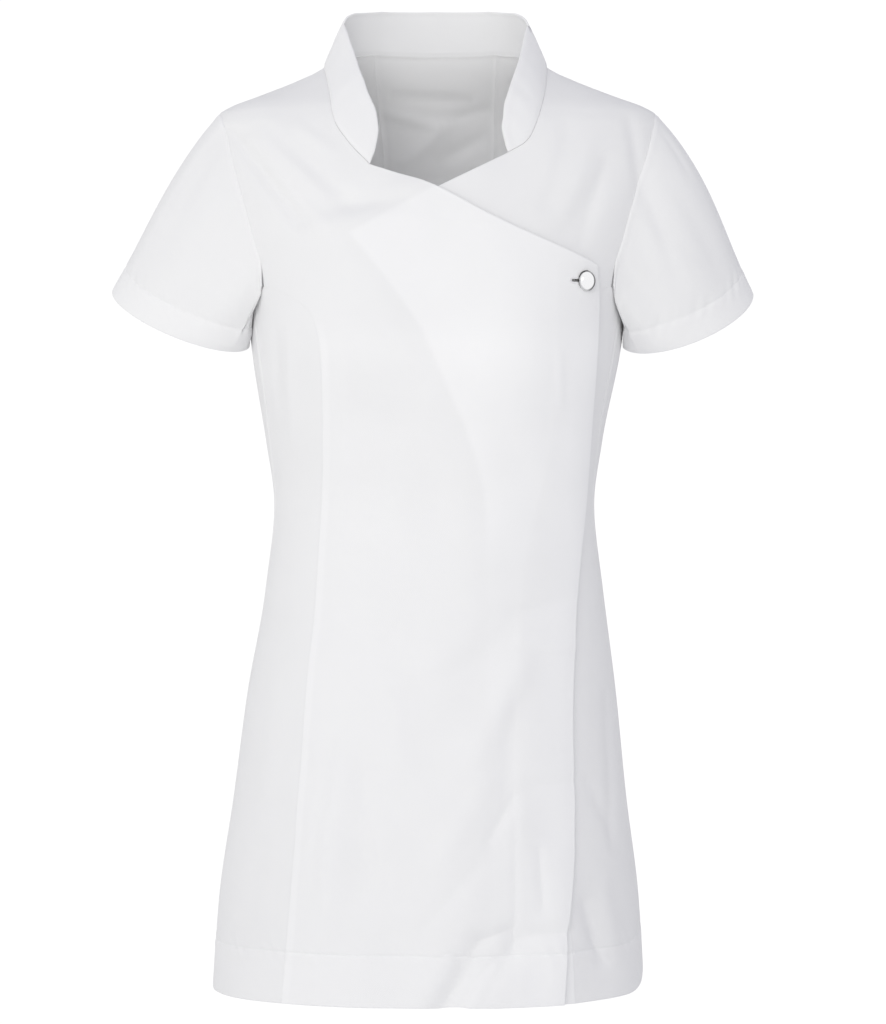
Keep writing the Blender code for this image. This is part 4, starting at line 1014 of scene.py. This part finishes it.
def build_sleeve(name, side, seam):
    """Short set-in sleeve: straight runs from the armhole to the tilted oval cuff, swelling."""
    runs = turned(seam["armhole_front"]) + turned(seam["armhole_low"]) + seam["armhole_back"]
    units = sum(run[1] for run in runs)
    loop = on_edge(runs, np.linspace(0, units, 8 * units + 1))[:-1]
    angle, height = loop[:, 0], loop[:, 1]
    hole = cloth(angle, height) + normal_of(cloth, angle, height) * 0.0003
    round_hole = travelled(np.concatenate([hole, hole[:1]]), 0)
    lowest = int(np.argmin(hole[:, 2]))
    turn = np.interp(round_hole[:-1], [0.0, round_hole[lowest], round_hole[-1]],
                     [0, math.pi, math.tau])
    row = dict(zip(CUFF_COLUMNS, next(r for r in CUFFS if r[0] == side)))
    outward = np.array([side * math.cos(row["drop"]), 0.0, math.sin(row["drop"])])
    level = np.array([-side * math.sin(row["front_turn"]), -math.cos(row["front_turn"]), 0.0])
    slope = np.where(np.sin(turn) > 0, row["front_drop"], row["back_drop"])[:, None]
    forward = level * np.cos(slope) - np.array([0.0, 0.0, 1.0]) * np.sin(slope)
    centre = np.array([row["centre_x"], row["centre_y"], row["height"]])
    cuff = (centre + outward * row["half_width"] * np.cos(turn)[:, None]
            + forward * row["half_depth"] * np.sin(turn)[:, None])
    t = (1 - lines(7, 9, 0.17, (CUFF_DEPTH,)) / 7)[:, None, None]
    run = hole[None] * (1 - t) + cuff[None] * t
    sideways = outward * np.cos(turn)[:, None] + np.array([0, -1.0, 0]) * np.sin(turn)[:, None]
    top = np.maximum(np.cos(turn), 0.0)[None, :, None] * SLEEVE_TOP_SWELL[side]
    around = np.abs(np.sin(turn))[None, :, None] * SLEEVE_SWELL
    swell = 6.75 * t * (1 - t) ** 2 * top + np.sin(math.pi * t) * around
    points = clear_of_body(run + sideways[None] * swell)
    turns = np.broadcast_to(turn, points.shape[:2])
    if side > 0:
        points, turns = points[:, ::-1], turns[:, ::-1]
    normals = grid_normals(points, True)
    share = 1 - (t[..., 0] + 0 * turns)
    ring = np.linalg.norm(points - np.roll(points, 1, axis=1), axis=-1).sum(axis=1)[:, None]
    relief = np.zeros(points.shape[:2])
    for which, turn_0, turn_1, low, high, width, depth in SLEEVE_FOLDS:
        if which == side:
            middle = np.radians(turn_1 + (turn_0 - turn_1) * share)
            away = np.angle(np.exp(1j * (turns - middle))) * ring / math.tau
            along = np.clip((1 - share - low) / (high - low), 0, 1)
            relief += depth * bell(away, width) * np.sin(math.pi * along)
    points = points + normals * relief[..., None]
    from_cuff = travelled(points, 0)
    from_hole = from_cuff[-1:] - from_cuff
    around = turns * ring.mean() / math.tau
    raised = hem_relief(from_cuff, CUFF_DEPTH, around) + seam_dip(from_hole)
    turned_up = second_layer(from_cuff, CUFF_DEPTH)
    round_off = rounding(from_cuff, FOLD_RADIUS)
    lifts = (raised + SKIN_OUT * round_off,
             raised - (SKIN_IN + TURNED_UP * turned_up) * round_off)
    uv = np.stack([around, from_cuff], axis=-1)
    layers = 1.0 + 0.7 * turned_up + SEAM_LAYERS * bell(from_hole, SEAM_TONE_WIDTH)
    return shell(name, points, normals, lifts, uv, layers, WHITE_CLOTH, closed=True)


# ---- collar ---------------------------------------------------------------------------
def collar_sizes(places):
    """Rise, inward, back and swell at places on the neck seam, 0 to 18 from right to left."""
    near = np.minimum(places, 18 - places)
    known = column(COLLAR, COLLAR_COLUMNS, "place")
    sizes = []
    for pair in (("rise_right", "rise_left"), ("inward_right", "inward_left"),
                 ("back", "back"), ("swell", "swell")):
        right, left = (smooth_through(known, column(COLLAR, COLLAR_COLUMNS, name), near)
                       for name in pair)
        sizes.append(np.where(places < 9, right, left))
    return sizes


def build_collar(right, left):
    """Stand collar: two layers from the neck seam to a folded free edge."""
    across_back = [unwrapped(on_edge(seam["back_princess"], np.array([float(TO_SHOULDER)])), -1)[0]
                   for seam in (right, left)]
    places = lines(18, 12, 0.45)
    parts = np.split(places, np.searchsorted(places, (3, 6, 12, 15)))
    seam = np.concatenate([
        on_edge(turned(right["neck_front"]), parts[0]),
        on_edge(right["neck_side"], parts[1] - 3),
        on_edge([(across_back, 6, 0)], parts[2] - 6),
        unwrapped(on_edge(turned(left["neck_side"]), parts[3] - 12), -1),
        unwrapped(on_edge(left["neck_front"], parts[4] - 15), -1)])
    angle, height = seam[:, 0], seam[:, 1]
    foot = cloth(angle, height) + normal_of(cloth, angle, height) * 0.0006
    rise, inward, back, swell = collar_sizes(places)
    outward = np.clip((foot[:, 0] - section("centre_x", NECK_SIDE[1])) / 0.004, -1, 1)
    edge = foot + np.stack([-outward * inward, back, rise], axis=-1)
    t = (lines(3, 8, 0.040) / 3)[:, None, None]
    points = foot[None] * (1 - t) + edge[None] * t
    away = foot - foot.mean(axis=0)
    away[:, 2] = 0
    away /= np.linalg.norm(away, axis=-1, keepdims=True)
    points = points + np.sin(math.pi * t) * away[None] * swell[None, :, None]
    points = points[:, ::-1]
    normals = grid_normals(points)
    from_left, from_right, from_foot, from_free = from_edges(points)
    round_neck = travelled(points[-1], 0)
    ripple = (0.00035 * np.sin(round_neck * math.tau / 0.031)
              * np.sin(round_neck * math.tau / 0.083))
    relief = ripple[None] * ease(0.0, 0.02, from_foot) + 0.0004 * bell(from_free - 0.004, 0.003)
    round_off = (rounding(from_free, COLLAR_RADIUS) * rounding(from_left, COLLAR_RADIUS)
                 * rounding(from_right, COLLAR_RADIUS))
    thick = (0.00045 + 0.00065 * ease(0.0, 0.004, from_foot)) * round_off
    uv = np.stack([round_neck[None] + 0 * from_foot, from_foot], axis=-1)
    return shell("stand_collar", points, normals, (relief + thick, relief - thick), uv,
                 np.full(relief.shape, 2.0), COLLAR_WHITE)


# ---- button and buttonhole ------------------------------------------------------------
def near_button(along, up, lift):
    """Points on the wrap near the button: metres along and up from its middle, and normals."""
    at, z = float(angle_at(np.array([BUTTON_AT[0]]), np.array([BUTTON_AT[1]]))[0]), BUTTON_AT[1]
    here = cloth(np.array([at, at + 0.01]), np.array([z, z]))
    turn = 0.01 / np.linalg.norm(here[1] - here[0])
    here = cloth(np.array([at, at]), np.array([z, z + 0.01]))
    rise = 0.01 / np.linalg.norm(here[1] - here[0])
    angle, height = at + np.asarray(along) * turn, z + np.asarray(up) * rise
    normals = normal_of(cloth, angle, height)
    return cloth(angle, height) + normals * np.asarray(lift)[..., None], normals


def button_axes():
    """Middle of the button on the body, and its axes: along the slit, up the body, out."""
    points, normals = near_button(np.zeros(1), np.zeros(1), 0.0)
    out = normals[0]
    along = np.array([1.0, 0.0, 0.0]) - out * out[0]
    along /= np.linalg.norm(along)
    return points[0], np.stack([along, np.cross(out, along), out])


def cut_slit(pieces):
    """Cuts the buttonhole's slit through the wrap and its facing, and leaves no cutter."""
    middle, axes = button_axes()
    turn = np.linspace(0, math.tau, SLIT_SIDES + 1)[:-1]
    half = (SLIT_LENGTH - SLIT_WIDTH) / 2
    x = np.cos(turn) * SLIT_WIDTH / 2 + np.sign(np.cos(turn)) * half - SLIT_OFFSET
    y = np.sin(turn) * SLIT_WIDTH / 2
    rings = [np.stack([x, y, 0 * x + depth], 1) for depth in (0.0008, 0.0075)]
    corners = np.concatenate(rings) @ axes + middle - [0, 0, MOUNT_HEIGHT]
    faces = grid_faces(2, SLIT_SIDES, True).tolist()
    faces += [range(SLIT_SIDES)[::-1], range(SLIT_SIDES, 2 * SLIT_SIDES)]
    mesh = bpy.data.meshes.new("slit")
    mesh.from_pydata(corners.tolist(), [], faces)
    cutter = bpy.data.objects.new("slit", mesh)
    bpy.context.scene.collection.objects.link(cutter)
    for piece in pieces:
        cut = piece.modifiers.new("slit", "BOOLEAN")
        cut.operation, cut.object, cut.solver = "DIFFERENCE", cutter, "EXACT"
        bpy.context.view_layer.update()
        seen = piece.evaluated_get(bpy.context.evaluated_depsgraph_get())
        whole = bpy.data.meshes.new_from_object(seen)
        piece.modifiers.clear()
        piece.data = whole
    bpy.data.objects.remove(cutter)


def painted_rim_reflection_on(points):
    """Painted dark reflection: a ring near the rim as it shows from the front, deepest at the
    right and upper left.
    """
    seen = points[:, [0, 2]]
    half = (seen.max(0) - seen.min(0)) / 2
    seen = (seen - seen.min(0)) / half - 1
    around = np.arctan2(seen[:, 1], seen[:, 0])
    lobes = np.maximum(np.cos(around), np.cos(around - math.radians(135)))
    return (ease(0.80, 0.92, np.hypot(seen[:, 0] + 0.02, seen[:, 1]))
            * (0.30 + 0.68 * np.clip(1.5 * lobes, 0.0, 1.0)))


def build_button():
    """Turned dome with a rolled rim and a flat back, on a thin shank: a profile carried round."""
    middle, axes = button_axes()
    seat = WRAP_LIFT + 0.0008               # its flat back, just clear of the wrap
    lean = np.linspace(0, math.pi / 2, 15)[1:]
    radius = BUTTON_RADIUS - BUTTON_RIM
    dome = [(radius * math.sin(a), seat + DOME_FOOT + DOME_RISE * math.cos(a)) for a in lean]
    curl = np.linspace(math.pi * 0.75, -math.pi / 2, 10)
    rim = [(radius + BUTTON_RIM * math.cos(a), seat + 0.0008 + BUTTON_RIM * math.sin(a))
           for a in curl]
    profile = dome + rim + [(0.0011, seat + 0.0001), (SHANK_RADIUS, seat - 0.0004),
                            (SHANK_RADIUS, 0.0008), (0.0022, 0.0007)]
    turn = np.arange(ROUND_SIDES) * math.tau / ROUND_SIDES
    rings = [np.stack([r * np.cos(turn), r * np.sin(turn), 0 * turn + z], 1) for r, z in profile]
    top = seat + DOME_FOOT + DOME_RISE
    points = np.concatenate([[[0, 0, top]]] + rings + [[[0, 0, 0.0007]]])
    points = points @ axes + middle - [0, 0, MOUNT_HEIGHT]
    k = np.arange(ROUND_SIDES)
    n = (k + 1) % ROUND_SIDES
    last = 1 + (len(profile) - 1) * ROUND_SIDES
    faces = np.stack([0 * k, 1 + k, 1 + n], 1).tolist()
    faces += (1 + grid_faces(len(profile), ROUND_SIDES, True)[:, [0, 3, 2, 1]]).tolist()
    faces += np.stack([last + k, 0 * k + len(points) - 1, last + n], 1).tolist()
    mesh = bpy.data.meshes.new("dome_button")
    mesh.from_pydata(points.tolist(), [], faces)
    mesh.shade_smooth()
    mesh.set_sharp_from_angle(angle=math.radians(50))
    # painted dark reflection round the rim, placed as the button shows from the front
    set_attribute(mesh, "painted_rim_reflection", painted_rim_reflection_on(points))
    return finish_piece("dome_button", mesh, METAL)


def stitches(name, starts, ends, normals, radius):
    """Short threads from starts to ends, each a six-sided tube that dips in at both ends."""
    run = ends - starts
    side = np.cross(normals, run)
    side /= np.linalg.norm(side, axis=-1, keepdims=True)
    along = np.array([0.0, 0.12, 0.5, 0.88, 1.0])
    lift = np.array([-0.9, 0.35, 0.75, 0.35, -0.9]) * radius
    wide = np.array([0.35, 0.95, 1.0, 0.95, 0.35]) * radius
    turn = np.arange(6) * math.pi / 3
    ring = (np.cos(turn)[None, None, :, None] * side[:, None, None]
            + np.sin(turn)[None, None, :, None] * normals[:, None, None])
    middle = (starts[:, None] + run[:, None] * along[None, :, None]
              + normals[:, None] * lift[None, :, None])
    points = middle[:, :, None] + ring * wide[None, :, None, None]
    own = np.arange(len(starts))[:, None] * 30
    quads = (grid_faces(5, 6, True)[None] + own[..., None]).reshape(-1, 4)
    first = np.arange(6)[::-1][None] + own
    last = np.arange(24, 30)[None] + own
    mesh = bpy.data.meshes.new(name)
    vertices = points.reshape(-1, 3) - [0, 0, MOUNT_HEIGHT]
    mesh.from_pydata(vertices.tolist(), [], quads.tolist() + first.tolist() + last.tolist())
    mesh.shade_smooth()
    return finish_piece(name, mesh, THREAD)


def build_buttonhole_stitches():
    """Close bars across the slit's edge, all round it, as a purl of thread."""
    half, wide = SLIT_LENGTH / 2 - SLIT_WIDTH / 2, SLIT_WIDTH / 2
    x = np.arange(-half, half + 0.0001, STITCH_STEP)
    turn = np.linspace(-math.pi / 2, math.pi / 2, 9)[1:-1]
    way = np.concatenate([np.stack([0 * x, 0 * x + 1], 1), np.stack([0 * x, 0 * x - 1], 1),
                          np.stack([np.cos(turn), np.sin(turn)], 1),
                          np.stack([-np.cos(turn), np.sin(turn)], 1)])
    middle = np.concatenate([x, x, 0 * turn + half, 0 * turn - half])
    inner = np.stack([middle, 0 * middle], 1) + wide * way
    outer = inner + way * STITCH_LENGTH
    lift = np.full(len(inner), WRAP_LIFT + SKIN_OUT + 0.00035)
    starts, normals = near_button(inner[:, 0] - SLIT_OFFSET, inner[:, 1], lift)
    ends, _ = near_button(outer[:, 0] - SLIT_OFFSET, outer[:, 1], lift)
    return stitches("buttonhole_stitches", starts, ends, normals, STITCH_RADIUS)


# ---- put together ---------------------------------------------------------------------
RIGHT, LEFT = seams(-1), seams(1)
made = build_fronts(RIGHT, LEFT)
made.update(build_back(RIGHT, LEFT))
made["sleeve_right"] = build_sleeve("short_sleeve_right", -1, RIGHT)
made["sleeve_left"] = build_sleeve("short_sleeve_left", 1, LEFT)
made["collar"] = build_collar(RIGHT, LEFT)
cut_slit([made["front_right_wrap"], made["wrap_facing"]])
made["button"] = build_button()
buttonhole = build_buttonhole_stitches()

# each piece hangs from the root, and the imported part it replaces is hidden
for node, piece in made.items():
    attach(piece, "root")
    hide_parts(node)
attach(buttonhole, "root")

# ---- floor, light and camera ----------------------------------------------------------
FLOOR_RADIUS, FLOOR_HEIGHT = 3.0, -1.55
SENSOR = 36.0                           # camera's sensor, in its own millimetres
CAMERA_AWAY = 3.2
CAMERA_HEIGHT = -0.372
PIXEL = 0.00088                         # one of the photograph's pixels on the tunic
PHOTO_ROWS = 1024


def build_floor():
    """Pale disc well below the hem."""
    material, tree, shader = new_material("pale_floor")
    feed(tree, shader, {"Base Color": (0.9, 0.9, 0.9, 1.0), "Roughness": 0.9})
    turn = np.arange(ROUND_SIDES) * math.tau / ROUND_SIDES
    disc = np.stack([FLOOR_RADIUS * np.cos(turn), FLOOR_RADIUS * np.sin(turn),
                     0 * turn + FLOOR_HEIGHT], 1)
    mesh = bpy.data.meshes.new("floor")
    mesh.from_pydata(disc.tolist(), [], [tuple(range(ROUND_SIDES))])
    return finish_piece("floor", mesh, material)


def light_room():
    """Soft light from all round, darker to the wearer's left and above.

    The camera sees plain white, and the polished button a white room that is dark behind."""
    world = bpy.data.worlds.new("studio")
    bpy.context.scene.world = world
    world.use_nodes = True
    tree = world.node_tree
    tree.nodes.clear()
    way = tree.nodes.new("ShaderNodeTexCoord").outputs["Generated"]
    axes = new_node(tree, "SeparateXYZ", {0: way}).outputs
    side = ranged(tree, axes["X"], (0.71, 1.0), (0.0, 1.0), "SMOOTHSTEP")
    above = ranged(tree, axes["Z"], (0.20, 1.0), (0.0, 0.95), "SMOOTHSTEP")
    behind = ranged(tree, axes["Y"], (0.35, 0.75), (1.0, 0.03), "SMOOTHSTEP")
    tint = blend(tree, math_node(tree, "MAXIMUM", side, above),
                 (1.0, 1.0, 0.985, 1.0), (0.50, 0.50, 0.58, 1.0))
    soft = new_node(tree, "Background", {"Color": tint})
    room = new_node(tree, "Background", {"Color": behind})
    white = new_node(tree, "Background", {"Color": (1.0, 1.0, 1.0, 1.0), "Strength": 1.05})
    path = tree.nodes.new("ShaderNodeLightPath").outputs
    shiny = new_node(tree, "MixShader", {0: path["Is Glossy Ray"], 1: soft.outputs[0],
                                         2: room.outputs[0]})
    seen = new_node(tree, "MixShader", {0: path["Is Camera Ray"], 1: shiny.outputs[0],
                                        2: white.outputs[0]})
    new_node(tree, "OutputWorld", {0: seen.outputs[0]})


def area_light(name, place, aim, size, watts, colour=(1.0, 1.0, 1.0)):
    """Square soft light at a place, turned towards a point."""
    data = bpy.data.lights.new(name, "AREA")
    data.size, data.energy, data.color = size, watts, colour
    lamp = bpy.data.objects.new(name, data)
    lamp.rotation_euler = (Vector(aim) - Vector(place)).to_track_quat("-Z", "Y").to_euler()
    lamp.location = place
    bpy.context.scene.collection.objects.link(lamp)


def set_camera():
    """Level camera in front, framed as the photograph."""
    camera = bpy.data.cameras.new("camera")
    camera.sensor_width = SENSOR
    camera.lens = SENSOR * CAMERA_AWAY / (PHOTO_ROWS * PIXEL)
    camera.shift_x = 0.0088
    holder = bpy.data.objects.new("camera", camera)
    holder.location = (0.0, -CAMERA_AWAY, CAMERA_HEIGHT)
    holder.rotation_euler = (math.radians(90), 0.0, 0.0)
    bpy.context.scene.collection.objects.link(holder)
    bpy.context.scene.camera = holder
    bpy.context.scene.view_settings.view_transform = "Standard"
    bpy.context.scene.view_settings.look = "None"


floor = build_floor()
floor.visible_glossy = False            # so that the button mirrors no floor
light_room()
area_light("key", (-0.80, -2.85, 0.60), (0.0, 0.0, -0.35), 1.4, 17.5, (1.0, 0.995, 0.98))
area_light("inside", (0.0, -0.02, -0.42), (0.0, 0.06, -0.1), 0.10, 0.08)
set_camera()
